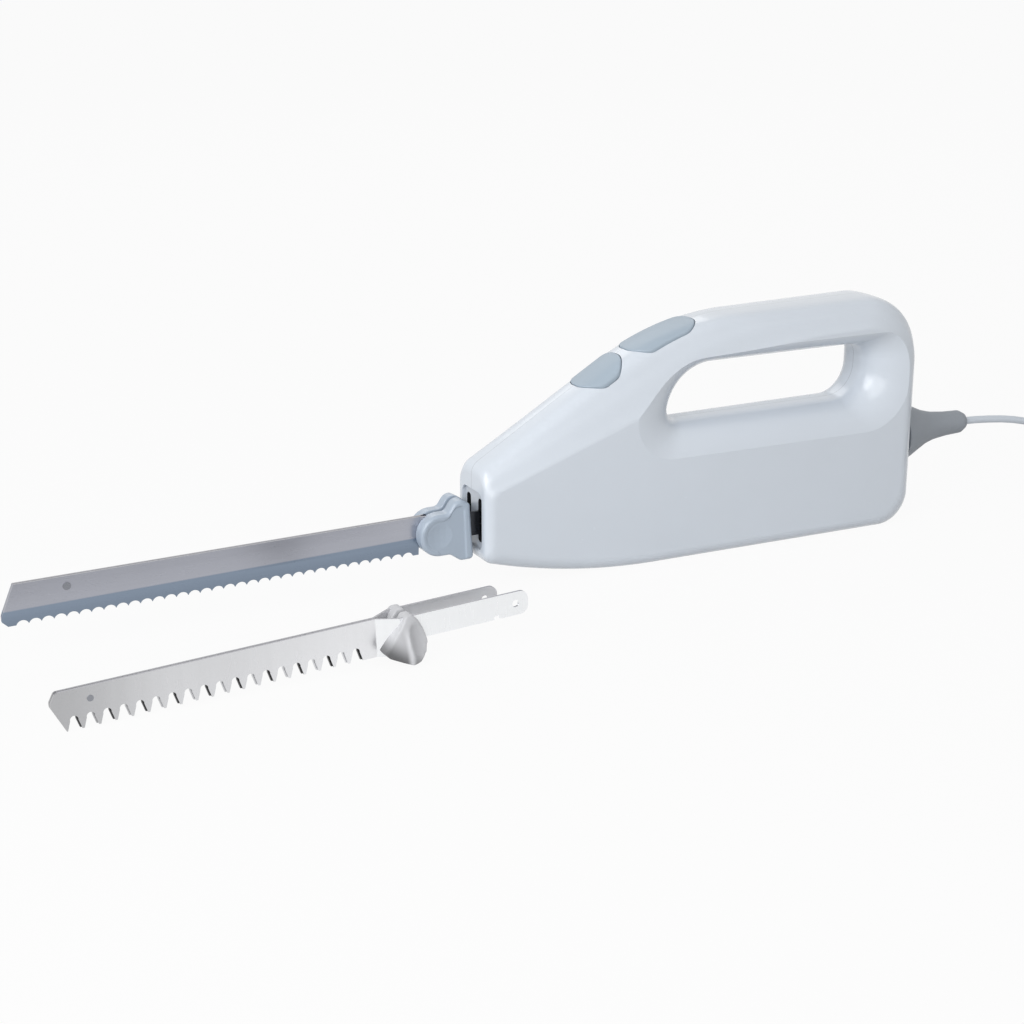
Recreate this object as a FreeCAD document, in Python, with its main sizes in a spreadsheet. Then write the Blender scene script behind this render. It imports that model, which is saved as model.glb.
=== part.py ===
import FreeCAD, Part
import math
import operator
import os
import Sketcher
from FreeCAD import Matrix, Placement, Rotation, Vector

# Electric carving knife: a loop-handled housing in two shells, a motor with a worm drive, two
# blades that slide against each other, a cord with its plug, and a spare pair of blades.
# Millimetres. X runs along the knife with the blades towards -X, Z is up, the base rests on Z = 0,
# and the knife's mid-plane is Y = 0, with the shells parted close beside it.

SIZES = {
    # housing outline at the mid-plane
    "nose_x": -145, "rear_x": 105.2, "top_z": 123, "nose_top_z": 59, "slope_x": -41,
    "nose_bottom_z": 13.9, "base_front_x": -96, "nose_half_width": 16.5, "rear_half_width": 23,
    "wall": 2.5, "parting_y": 0.4, "handle_drop": 14, "handle_rise": 1.7, "nose_drop": 11, "slope_shift": 64,
    "least_radius": 1, "rear_round": 9, "base_round": 6, "base_trim": 0.3, "nose_round": 5,
    "rear_bottom_radius": 17, "rear_top_radius": 28, "blend_radius": 150, "nose_top_radius": 7,
    "nose_bottom_radius": 5, "base_front_radius": 320,
    # grip hole and its flare
    "hole_front_x": -42, "hole_rear_x": 78.3, "hole_low_z": 69.5, "hole_top_z": 98.3,
    "hole_front_lean": 7.5, "hole_front_low_radius": 7, "hole_rear_low_radius": 16,
    "hole_rear_top_radius": 8, "hole_front_top_radius": 25,
    "flare_front": 38.5, "flare_rear": 31.7, "flare_low": 25, "flare_top": 12.2,
    "flare_front_radius": 22, "flare_rear_radius": 16, "flare_top_radius": 10,
    # screws and bosses of the housing
    "boss_radius": 4.2, "screw_radius": 1.4, "screw_hole_radius": 1.7, "screw_head_radius": 2.7,
    "screw_head_height": 2.2, "screw_seat_y": 10, "screw_depth": 8, "head_bore_radius": 3.1,
    "screw_nose_x": -124, "screw_nose_z": 52, "screw_floor_x": -58.6, "screw_floor_z": 9,
    "screw_base_x": 45, "screw_base_z": 12, "screw_rear_x": 92, "screw_rear_z": 78,
    "screw_handle_x": 12, "screw_handle_z": 109.6, "screw_slope_x": -50, "screw_slope_z": 72,
    "housing_reach": 40, "housing_span": 200, "housing_over": 160,
    # nose plate
    "plate_half_width": 10.6, "plate_low_z": 18.5, "plate_top_z": 47.5, "plate_thickness": 7,
    "plate_recess": 1.5,
    "plate_flange": 1.5, "plate_seat": 1, "plate_corner": 4, "plate_gap": 0.15, "slot_width": 4.4,
    "slot_low_z": 22, "slot_top_z": 44,
    # buttons
    "button_proud": 0.45, "button_width": 24, "button_corner": 10.5, "button_gap": 0.35,
    "button_depth": 6, "button_top": 15, "flange_thickness": 1.8, "flange_half_width": 8,
    "release_x": -77.6, "release_length": 26.4, "release_flange_front": 15.5, "release_flange_rear": 12,
    "power_x": -43.2, "power_length": 39.5, "power_flange_front": 18, "power_flange_rear": 22,
    "stem_half": 1.5, "stem_knee_x": -101.2, "stem_knee_z": 64, "stem_rear_x": -74.2, "stem_rear_z": 88,
    "stem_top_length": 10.5, "stem_rear_drop": 4.5, "stem_front_drop": 9.3, "stem_bend_x": -107.2,
    "stem_bend_z": 71, "wedge_bottom_z": 34.5, "wedge_length": 7.5,
    "wedge_height": 11, "wedge_half": 3.9, "wedge_flare": 1.4, "wedge_flare_height": 2,
    "spring_wire_radius": 0.4, "spring_radius": 3.2, "spring_pitch": 2, "spring_gap": 0.3,
    "release_spring_u": 8, "release_spring_length": 10, "power_spring_u": 12,
    "power_spring_length": 7, "shelf_thickness": 2.2, "shelf_half": 5,
    "switch_u": -10, "switch_length": 16, "switch_width": 10, "switch_height": 10.5,
    "switch_drop": 5.2, "plunger_radius": 1.5, "plunger_gap": 0.2, "plunger_sink": 5.5,
    "plunger_bore": 9.5, "press_gap": 0.3,
    # gear drive
    "wheel_x": -78, "wheel_z": 48, "shaft_z": 27, "module": 1, "wheel_teeth": 32,
    "wheel_half": 2.5, "tooth_out": 0.9, "tooth_in": 1.2, "gap_out": 2.3, "gap_in": 1.2,
    "worm_root": 3.9, "worm_outer": 5.8, "thread_root_half": 0.75, "thread_tip_half": 0.4,
    "thread_sink": 0.3, "worm_turns": 10, "worm_hub": 2,
    "crank_throw": 2.4, "crank_radius": 5.5, "crank_end_y": 9,
    "axle_radius": 1.5, "running_gap": 0.05, "shaft_radius": 2,
    "bush_radius": 4, "bush_length": 5,
    # drive bars and latches
    "bar_inner_y": 6.9, "bar_thickness": 2, "bar_front_x": -130, "bar_low_z": 26.5,
    "bar_top_z": 39.5, "ring_rim": 4, "travel": 2.4, "window_gap": 0.4,
    "latch_front_x": -128, "latch_rear_x": -105.5, "latch_low_z": 29, "latch_top_z": 36,
    "latch_thickness": 0.8, "latch_gap": 0.1, "pin_radius": 1.4, "pin_hole_radius": 1.7,
    "pin_tip_y": 4.4,
    # gear frame
    "frame_front_x": -101, "frame_rear_x": -63.4, "frame_half": 12, "frame_low_z": 7,
    "frame_floor": 3, "post_thickness": 5, "post_half": 5.5, "post_top_z": 33, "cheek_y": 9.3,
    "cheek_thickness": 2, "cheek_top_z": 42, "cheek_front_x": -90, "cheek_rear_x": -66,
    "frame_foot": 8, "frame_foot_half": 9, "frame_foot_low": 3.4, "axle_wall_top_z": 55, "guide_gap": 0.3,
    # motor
    "stack_x": -22, "stack_length": 24, "stack_half_width": 16, "stack_half_height": 19.5,
    "stack_corner": 2, "stack_bore": 11.5, "armature_radius": 11, "coil_inner_y": 7.4,
    "coil_outer_y": 11.8, "coil_low": 9.8, "coil_high": 15.2, "coil_end": 5, "coil_gap": 0.25,
    "window_low": 8, "slot_depth": 3.5, "armature_slot": 2.2, "armature_slots": 12,
    "winding_outer": 9.4, "winding_inner": 3.4, "winding_length": 4.5, "winding_round": 1.5,
    "commutator_x": 3, "commutator_length": 10, "commutator_radius": 7,
    "commutator_slot": 0.6, "commutator_slot_depth": 1.2,
    "brush_x": 8, "brush_width": 5, "brush_length": 7, "brush_gap": 0.1, "holder_wall": 1.4,
    "holder_inner_y": 8, "holder_outer_y": 16.6, "fan_x": -48, "fan_length": 7, "fan_radius": 15,
    "fan_hub": 5, "fan_disc": 1.2, "fan_blade": 1.2, "fan_blades": 11,
    "front_bracket_x": -54, "rear_bracket_x": 24, "bracket_thickness": 3, "bracket_top_z": 49,
    "bracket_gap": 0.3, "bracket_corner": 6, "bracket_window": 8, "shaft_front_x": -103,
    "shaft_rear_x": 31, "bolt_y": 13.5, "bolt_z": 17, "bolt_radius": 1.2, "bolt_head": 2.3,
    "bolt_head_height": 2, "capacitor_length": 8, "capacitor_half": 9, "capacitor_low_z": 33,
    "capacitor_top_z": 47, "capacitor_round": 2,
    # fitted blades
    "tip_x": -373.4, "blade_top_z": 38.6, "blade_low_z": 19.4, "blade_tilt": 0.65, "blade_thickness": 1.2,
    "blade_gap": 0.15, "tip_slant": 7.4, "tip_corner": 5, "bevel_height": 7.2, "bevel_depth": 0.75,
    "tooth_pitch": 5.6, "tooth_radius": 2.95, "tooth_count": 34, "tooth_start": 8.9,
    "tang_start_x": -174, "bend_start_x": -173, "bend_end_x": -156, "tang_y": 6.2,
    "tang_low_z": 26.8, "tang_end_x": -103, "tang_hole_x": -108, "tang_hole_z": 32.5,
    "notch_x": -116, "notch_width": 3, "notch_depth": 1.6, "rivet_x": -344, "rivet_z": 34,
    "rivet_radius": 1.9, "rivet_head": 3, "rivet_head_height": 0.7,
    "rivet_proud": 0.2, "rivet_gap": 0.4, "cut_over": 3,
    # finger guards of the fitted blades
    "guard_front_x": -175.6, "guard_rear_x": -147.7, "guard_low_z": 18.4, "guard_lobe_z": 39.4,
    "guard_top_z": 45.2, "guard_neck_x": -161, "guard_crown_x": -157.2, "guard_inner_y": 1.35,
    "guard_outer_y": 8, "guard_lobe_radius": 10.3, "guard_crown_radius": 5, "guard_neck_radius": 3,
    "guard_heel_radius": 2, "guard_slant": 1.7, "guard_heel_x": -154.5, "guard_heel_z": 14.6,
    "guard_waist_x": -160, "guard_rim": 1.8, "dish_radius": 60, "dish_depth": 0.7,
    # spare blades, in their own frame: X from the tip, Z from the tooth line
    "spare_x": -373.7, "spare_y": -83.9, "spare_turn": 1.8, "spare_slide": 8, "spare_end": 216.3,
    "spare_height": 17.6, "spare_tip_foot": 5.6, "spare_tip_low": 11.5, "spare_tip_top_x": 2.4,
    "spare_tip_drop": 4.2, "spare_tip_round": 2, "spare_tooth_pitch": 6.94, "spare_tooth_radius": 1.75,
    "spare_tooth_depth": 6.2, "spare_tooth_half": 3.4, "spare_tooth_count": 19, "spare_tooth_lag": 0.6,
    "spare_tooth_start": 9, "spare_step_x": 156, "spare_tang_low": 6.6, "tang_round": 4,
    "spare_bend_start": 143.7, "spare_bend_end": 153, "spare_tang_cut": 9, "spare_hole_inset": 6.3,
    "spare_hole_z": 12.1, "spare_notch_inset": 17.3, "spare_rivet_x": 16.5, "spare_rivet_z": 12.2,
    "spare_rivet_radius": 1.4,
    "spare_shoulder_gap": 0.1,
    "knob_left_x": 143.5, "knob_left_z": 4.8, "knob_low_x": 156.5, "knob_low": -5.9,
    "knob_flat": 7, "knob_right_x": 167.2, "knob_right_z": 3, "knob_top_x": 154, "knob_top": 20,
    "knob_top_flat": 5, "knob_outer_y": 11, "knob_left_radius": 3.5, "knob_low_radius": 4,
    "knob_right_radius": 6, "knob_top_radius": 3.4, "knob_rim": 2.8,
    # cord, boot and plug
    "cord_radius": 2, "cord_z": 44.4, "boot_end_x": 154, "boot_base_radius": 18,
    "boot_flare_x": 112.3, "boot_flare_radius": 15.2, "boot_waist_x": 125.3, "boot_waist_radius": 9.4,
    "boot_slim_x": 132.3, "boot_slim_radius": 7.6, "boot_thin_x": 141.3, "boot_thin_radius": 6.6,
    "boot_tail_x": 151, "boot_tail_radius": 6.2, "boot_end_radius": 4.6, "boot_curve": 25,
    "boot_tip": 2.2, "boot_neck_radius": 7.5, "boot_flange_radius": 10, "boot_flange": 3,
    "boot_gap": 0.2, "cord_start_x": 128,
    "clamp_front_x": 74, "clamp_length": 9, "clamp_half": 7, "clamp_post_half": 4,
    "lead_straight_x": 164, "lead_bend_x": 200, "lead_bend_z": 39.6, "lead_fall_x": 232, "lead_fall_z": 26,
    "lead_foot_x": 262, "tail_turn_x": 266, "tail_rise_x": 250, "tail_end_x": 238, "tail_shift": 5,
    "coil_x": 282, "coil_low_z": 3.3, "coil_inner_radius": 18.5, "coil_pitch": 4.6,
    "coil_turns_per_layer": 2, "coil_layers": 4, "coil_straight": 4,
    "tie_width": 6, "tie_thickness": 1, "tie_gap": 0.3,
    "plug_length": 34, "plug_shoulder": 15.3, "plug_half_width": 13, "plug_half_height": 6.8,
    "plug_nose_half": 9,
    "plug_z": 7, "plug_round": 3, "pin_spacing": 19, "plug_pin_radius": 2, "plug_pin_length": 19,
    "plug_pin_sink": 6, "plug_pin_root": 1.6,
}

# Each level of the housing loft: share of the half width, share of the drop from ridge to crease.
LEVEL_SHARES = ((0.0, 0.0), (0.30, 0.012), (0.52, 0.055), (0.68, 0.19), (0.80, 0.43),
                (0.89, 0.68), (0.96, 0.88), (1.0, 1.0))
# Levels of the grip hole tool, and where its flare begins and ends, in shares of the half width.
HOLE_LEVEL_SHARES = (0.0, 0.2, 0.38, 0.55, 0.7, 0.82, 0.91, 0.97, 1.02, 1.06)
FLARE_START_SHARE = 0.2
FLARE_END_SHARE = 1.06
# How far a radius may be off and still be the one looked for.
RADIUS_SLACK = 0.001
# Where the housing screws sit, by the names of their sizes.
SCREW_SPOTS = ("nose", "floor", "base", "rear", "handle", "slope")

document = FreeCAD.newDocument("carving_knife")
sheet = document.addObject("Spreadsheet::Sheet", "Sizes")
for row, (alias, number) in enumerate(SIZES.items(), start=1):
    sheet.set(f"A{row}", alias)
    sheet.set(f"B{row}", str(number))
    sheet.setAlias(f"B{row}", alias)
document.recompute()


class Size:
    """A number that carries its sheet formula along, so a property can be bound to it."""

    def __init__(self, number, text):
        self.number = number
        self.text = text

    def joined(self, sign, other, work, swapped=False):
        if not isinstance(other, Size):
            other = Size(float(other), repr(float(other)))
        first, second = (other, self) if swapped else (self, other)
        return Size(work(first.number, second.number), f"({first.text} {sign} {second.text})")

    def __add__(self, other):
        return self.joined("+", other, operator.add)

    def __radd__(self, other):
        return self.joined("+", other, operator.add, swapped=True)

    def __sub__(self, other):
        return self.joined("-", other, operator.sub)

    def __rsub__(self, other):
        return self.joined("-", other, operator.sub, swapped=True)

    def __mul__(self, other):
        return self.joined("*", other, operator.mul)

    def __rmul__(self, other):
        return self.joined("*", other, operator.mul, swapped=True)

    def __truediv__(self, other):
        return self.joined("/", other, operator.truediv)

    def __neg__(self):
        return Size(-self.number, f"(-1 * {self.text})")

    def __float__(self):
        return float(self.number)


class Cells:
    """Reads the sheet's cells by alias as bindable sizes."""

    def __getattr__(self, alias):
        return Size(float(sheet.get(alias)), f"Sizes.{alias}")


S = Cells()


def sine(angle):
    return Size(math.sin(math.radians(angle.number)), f"sin({angle.text})")


def cosine(angle):
    return Size(math.cos(math.radians(angle.number)), f"cos({angle.text})")


def arc_tangent(ratio):
    """Angle in degrees whose tangent is the ratio."""
    return Size(math.degrees(math.atan(ratio.number)), f"(atan({ratio.text}) / 1 deg)")


def arc_sine(ratio):
    return Size(math.degrees(math.asin(ratio.number)), f"(asin({ratio.text}) / 1 deg)")


def bind(thing, prop, size):
    """Bind one property to the sheet, or set it when the value is a plain number."""
    if isinstance(size, Size):
        thing.setExpression(prop, size.text)
    else:
        setattr(thing, prop, size)


def settle(thing, x, y, z, rotation=Rotation()):
    """Place an object at bound coordinates."""
    numbers = [float(value) for value in (x, y, z)]
    thing.Placement = Placement(Vector(*numbers), rotation)
    for axis, value in zip("xyz", (x, y, z)):
        if isinstance(value, Size):
            thing.setExpression(f"Placement.Base.{axis}", value.text)
    return thing


ALONG_X = Rotation(Vector(0, 1, 0), 90)
ALONG_Y = Rotation(Vector(1, 0, 0), -90)

nodes = []


def node(name, thing):
    """Register a finished sub-part under its file name."""
    thing.Label = name
    nodes.append(thing)
    return thing


def box(low, high):
    """Box between two bound corners."""
    thing = document.addObject("Part::Box", "block")
    for prop, start, end in zip(("Length", "Width", "Height"), low, high):
        bind(thing, prop, end - start)
    return settle(thing, *low)


def rod(radius, length, x, y, z, rotation):
    """Cylinder that starts at a point and runs along a rotation's Z axis."""
    thing = document.addObject("Part::Cylinder", "rod")
    bind(thing, "Radius", radius)
    bind(thing, "Height", length)
    return settle(thing, x, y, z, rotation)


def fuse(*things):
    joint = document.addObject("Part::MultiFuse", "joined")
    joint.Shapes = list(things)
    joint.Refine = True
    return joint


def cut(base, *tools):
    """Base less all the tools."""
    result = document.addObject("Part::Cut", "trimmed")
    result.Base = base
    result.Tool = tools[0] if len(tools) == 1 else fuse(*tools)
    return result


def common(*things):
    result = document.addObject("Part::MultiCommon", "shared")
    result.Shapes = list(things)
    return result


def group(*things):
    """Several separate solids as one sub-part."""
    result = document.addObject("Part::Compound", "group")
    result.Links = list(things)
    return result


def free_shape(shape):
    """Sub-part whose shape is worked out in code from the sheet's sizes."""
    thing = document.addObject("Part::Feature", "form")
    thing.Shape = shape
    return thing


class Maker:
    """A PartDesign body built up from sketches on its own origin planes."""

    def __init__(self):
        self.body = document.addObject("PartDesign::Body", "body")
        self.planes = {item.Role: item for item in self.body.Origin.OriginFeatures}

    def sketch(self, plane, offset=None):
        drawing = self.body.newObject("Sketcher::SketchObject", "sketch")
        drawing.AttachmentSupport = [(self.planes[plane], "")]
        drawing.MapMode = "FlatFace"
        if offset is not None:
            bind(drawing, "AttachmentOffset.Base.z", offset)
        return drawing

    def outline(self, plane, points, offset=None):
        """Closed polygon through bound points."""
        drawing = self.sketch(plane, offset)
        spots = [Vector(float(first), float(second), 0) for first, second in points]
        count = len(spots)
        for index in range(count):
            drawing.addGeometry(Part.LineSegment(spots[index], spots[(index + 1) % count]))
        for index in range(count):
            drawing.addConstraint(
                Sketcher.Constraint("Coincident", index, 2, (index + 1) % count, 1))
        for index, point in enumerate(points):
            self.pin(drawing, index, 1, point)
        return drawing

    def circle(self, plane, centre, radius, offset=None):
        drawing = self.sketch(plane, offset)
        spot = Vector(float(centre[0]), float(centre[1]), 0)
        drawing.addGeometry(Part.Circle(spot, Vector(0, 0, 1), float(radius)))
        size = drawing.addConstraint(Sketcher.Constraint("Radius", 0, float(radius)))
        drawing.setExpression(f"Constraints[{size}]", radius.text)
        self.pin(drawing, 0, 3, centre)
        return drawing

    def pin(self, drawing, geometry, vertex, point):
        """Hold a sketch point at bound coordinates."""
        for kind, value in zip(("DistanceX", "DistanceY"), point):
            held = Sketcher.Constraint(kind, -1, 1, geometry, vertex, float(value))
            index = drawing.addConstraint(held)
            if isinstance(value, Size):
                drawing.setExpression(f"Constraints[{index}]", value.text)

    def feature(self, kind, drawing, length, symmetric=False, reverse=False):
        result = self.body.newObject(f"PartDesign::{kind}", kind.lower())
        result.Profile = drawing
        bind(result, "Length", length)
        if symmetric:
            result.SideType = "Symmetric"
        result.Reversed = reverse
        return result

    def pad(self, drawing, length, symmetric=False, reverse=False):
        return self.feature("Pad", drawing, length, symmetric, reverse)

    def pocket(self, drawing, length, symmetric=False, reverse=False):
        return self.feature("Pocket", drawing, length, symmetric, reverse)

    def turn(self, drawing, axis):
        """Full revolution of a sketch about one of the body's axes."""
        result = self.body.newObject("PartDesign::Revolution", "revolution")
        result.Profile = drawing
        result.ReferenceAxis = (self.planes[axis], [""])
        result.Angle = 360
        return result

    def polar(self, originals, axis, count):
        result = self.body.newObject("PartDesign::PolarPattern", "ring")
        result.Originals = originals
        result.Axis = (self.planes[axis], [""])
        result.Angle = 360
        bind(result, "Occurrences", count)
        self.body.Tip = result
        return result

    def row(self, originals, axis, pitch, count):
        result = self.body.newObject("PartDesign::LinearPattern", "row")
        result.Originals = originals
        result.Direction = (self.planes[axis], [""])
        bind(result, "Length", pitch * (count - 1))
        bind(result, "Occurrences", count)
        self.body.Tip = result
        return result

    def dress(self, kind, prop, size, chosen):
        """Fillet or chamfer on the edges of the tip that a test picks."""
        document.recompute()
        tip = self.body.Tip
        names = [f"Edge{index}" for index, edge in enumerate(tip.Shape.Edges, 1) if chosen(edge)]
        result = self.body.newObject(f"PartDesign::{kind}", kind.lower())
        result.Base = (tip, names)
        bind(result, prop, size)
        return result

    def fillet(self, radius, chosen):
        return self.dress("Fillet", "Radius", radius, chosen)


def runs_along(direction):
    """Test for straight edges along a direction."""
    def test(edge):
        if not isinstance(edge.Curve, Part.Line):
            return False
        return abs(edge.Curve.Direction.dot(direction)) > 0.999
    return test


def lies_at(axis, value, slack=0.001):
    """Test for edges whose every end has the same coordinate."""
    def test(edge):
        return all(abs(getattr(vertex.Point, axis) - float(value)) < slack
                   for vertex in edge.Vertexes)
    return test


def corner_near(x, z, slack=0.01):
    """Test for straight edges along Y through one point of the side view."""
    along = runs_along(Vector(0, 1, 0))

    def test(edge):
        if not along(edge):
            return False
        point = edge.Vertexes[0].Point
        return abs(point.x - float(x)) < slack and abs(point.z - float(z)) < slack
    return test


# Housing: lofts through side outlines that lie on planes fanned out from the mid-plane.

def shifted_edges(corners, distance):
    """Move every edge of a convex, counter-clockwise outline inwards."""
    lines = []
    count = len(corners)
    for index in range(count):
        start, end = corners[index], corners[(index + 1) % count]
        along = Vector(end[0] - start[0], end[1] - start[1], 0).normalize()
        inward = Vector(-along.y, along.x, 0)
        lines.append((Vector(start[0], start[1], 0) + inward * distance, along))
    moved = []
    for index in range(count):
        (first, one), (second, two) = lines[index - 1], lines[index]
        gap = second - first
        reach = (gap.x * two.y - gap.y * two.x) / (one.x * two.y - one.y * two.x)
        point = first + one * reach
        moved.append((point.x, point.y, max(corners[index][2] - distance, float(S.least_radius))))
    return moved


def rounded_wire(corners):
    """Outline of lines and tangent arcs in the XZ plane, from (x, z, radius) corners."""
    count = len(corners)
    ends = []
    for index, (x, z, radius) in enumerate(corners):
        here = Vector(x, 0, z)
        back = Vector(corners[index - 1][0], 0, corners[index - 1][1]) - here
        ahead = Vector(corners[(index + 1) % count][0], 0, corners[(index + 1) % count][1]) - here
        back.normalize()
        ahead.normalize()
        half = back.getAngle(ahead) / 2
        setback = radius / math.tan(half)
        middle = (back + ahead).normalize()
        apex = here + middle * (radius / math.sin(half) - radius)
        ends.append((here + back * setback, apex, here + ahead * setback))
    edges = []
    for index, (start, apex, end) in enumerate(ends):
        edges.append(Part.Arc(start, apex, end).toShape())
        edges.append(Part.LineSegment(end, ends[(index + 1) % count][0]).toShape())
    return Part.Wire(edges)


def half_width(x, inset=0.0):
    """Half width of the housing at a place along it."""
    return S.nose_half_width - inset + width_slope() * (x - S.nose_x)


def width_slope():
    return (S.rear_half_width - S.nose_half_width) / (S.rear_x - S.nose_x)


def fanned(wire, share, inset):
    """Carry a side outline to the plane at a share of the half width."""
    slope = share * float(width_slope())
    offset = share * float(half_width(Size(0.0, "0"), inset))
    matrix = Matrix()
    matrix.A21 = slope
    matrix.A24 = offset
    return wire.transformGeometry(matrix)


def rounding(radius, share):
    """How far a rounded edge has drawn back at a share of the half width."""
    middle = float(S.nose_half_width + S.rear_half_width) / 2
    reach = max(0.0, 1 - (1 - share) * middle / radius)
    return radius * (1 - math.sqrt(1 - reach * reach))


def side_corners(share, drop):
    """Side outline at one level, counter-clockwise from the base's front."""
    back = rounding(float(S.rear_round), share)
    under = rounding(float(S.base_round), share) - float(S.base_trim)
    front = rounding(float(S.nose_round), share)
    nose = float(S.nose_x) + front
    rear = float(S.rear_x) - back
    top = float(S.top_z - S.handle_drop * drop)
    return [(float(S.base_front_x) + front, under, float(S.base_front_radius)),
            (rear, under, float(S.rear_bottom_radius)),
            (rear, top, float(S.rear_top_radius)),
            (float(S.slope_x + S.slope_shift * drop), top - float(S.handle_rise), float(S.blend_radius)),
            (nose, float(S.nose_top_z - S.nose_drop * drop), float(S.nose_top_radius)),
            (nose, float(S.nose_bottom_z) + under, float(S.nose_bottom_radius))]


def mirrored_levels(levels):
    """The same levels on both sides of the mid-plane, from -Y to +Y."""
    return [(-1, level) for level in reversed(levels[1:])] + [(1, level) for level in levels]


def housing_solid(inset):
    """Closed solid of the housing, its faces moved inwards by the inset."""
    wires = []
    for side, (share, drop) in mirrored_levels(LEVEL_SHARES):
        wire = rounded_wire(shifted_edges(side_corners(share, drop), inset))
        wires.append(fanned(wire, side * share, inset))
    return Part.makeLoft(wires, True, False)


def hole_solid(extra):
    """Tool of the grip hole with its flare, its faces moved outwards by the extra."""
    wires = []
    middle = float(S.nose_half_width + S.rear_half_width) / 2
    span = FLARE_END_SHARE - FLARE_START_SHARE
    for side, share in mirrored_levels(HOLE_LEVEL_SHARES):
        reach = min(max((share + extra / middle - FLARE_START_SHARE) / span, 0.0), 1.0)
        grow = 1 - math.sqrt(1 - reach * reach)
        front = float(S.hole_front_x) - grow * float(S.flare_front)
        rear = float(S.hole_rear_x) + grow * float(S.flare_rear)
        low = float(S.hole_low_z) - grow * float(S.flare_low)
        top = float(S.hole_top_z) + grow * float(S.flare_top)
        corners = [
            (front, low, float(S.hole_front_low_radius) + grow * float(S.flare_front_radius)),
            (rear, low, float(S.hole_rear_low_radius) + grow * float(S.flare_rear_radius)),
            (rear, top, float(S.hole_rear_top_radius) + grow * float(S.flare_top_radius)),
            (front + float(S.hole_front_lean), top,
             float(S.hole_front_top_radius) + grow * float(S.flare_top_radius))]
        wires.append(fanned(rounded_wire(shifted_edges(corners, -extra)), side * share, 0.0))
    return Part.makeLoft(wires, True, False)


# Slanted frames of the two buttons: u runs up the slope, n out of it.

HANDLE_TILT = arc_tangent(S.handle_rise / (S.rear_x - S.slope_x))
SLOPE_TOP = S.top_z - S.handle_rise
SLOPE_TILT = arc_tangent((SLOPE_TOP - S.nose_top_z) / (S.slope_x - S.nose_x))
RELEASE_Z = S.nose_top_z + (S.release_x - S.nose_x) * (SLOPE_TOP - S.nose_top_z) / (S.slope_x - S.nose_x)
BLEND_HALF = (SLOPE_TILT - HANDLE_TILT) / 2
BLEND_REACH = S.blend_radius * sine(BLEND_HALF) / cosine(BLEND_HALF)
BLEND_X = S.slope_x + BLEND_REACH * cosine(HANDLE_TILT) + S.blend_radius * sine(HANDLE_TILT)
BLEND_Z = SLOPE_TOP + BLEND_REACH * sine(HANDLE_TILT) - S.blend_radius * cosine(HANDLE_TILT)
POWER_TILT = arc_sine((BLEND_X - S.power_x) / S.blend_radius)
POWER_Z = BLEND_Z + S.blend_radius * cosine(POWER_TILT)


class Slant:
    """A button's own frame on the sloping top."""

    def __init__(self, x, z, tilt):
        self.x, self.z, self.tilt = x, z, tilt

    def place(self, thing, u, v, n):
        """Turn an object into this frame and put its origin at (u, v, n)."""
        turned = Rotation(Vector(0, 1, 0), -self.tilt.number)
        x = self.x + u * cosine(self.tilt) - n * sine(self.tilt)
        z = self.z + u * sine(self.tilt) + n * cosine(self.tilt)
        settle(thing, x, v, z, turned)
        return thing

    def block(self, low, high):
        """Box between two corners of this frame."""
        thing = document.addObject("Part::Box", "block")
        for prop, start, end in zip(("Length", "Width", "Height"), low, high):
            bind(thing, prop, end - start)
        return self.place(thing, *low)

    def pad(self, length, width, corner, low, high):
        """Prism with rounded corners across the slope."""
        maker = Maker()
        half, side = length / 2, width / 2
        drawing = maker.outline("XY_Plane", ((-half, -side), (half, -side), (half, side), (-half, side)))
        maker.pad(drawing, high - low)
        maker.fillet(corner, runs_along(Vector(0, 0, 1)))
        return self.place(maker.body, NOUGHT, NOUGHT, low)


NOUGHT = Size(0.0, "0")
RELEASE = Slant(S.release_x, RELEASE_Z, SLOPE_TILT)
POWER = Slant(S.power_x, POWER_Z, POWER_TILT)
FLANGE_LOW = -S.button_depth - S.flange_thickness
SWITCH_TOP = FLANGE_LOW - S.switch_drop
SWITCH_LOW = SWITCH_TOP - S.switch_height


def spring_shape(length):
    """Coil spring along Z as one swept wire."""
    helix = Part.makeLongHelix(float(S.spring_pitch), float(length), float(S.spring_radius), 0, False)
    ring = Part.makeCircle(float(S.spring_wire_radius), Vector(float(S.spring_radius), 0, 0),
                           Vector(0, 1, 0))
    return Part.Wire(helix.Edges).makePipeShell([Part.Wire([ring])], True, True)


def screw_places():
    """X and Z of every housing screw."""
    return [(getattr(S, f"screw_{spot}_x"), getattr(S, f"screw_{spot}_z")) for spot in SCREW_SPOTS]


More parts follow.
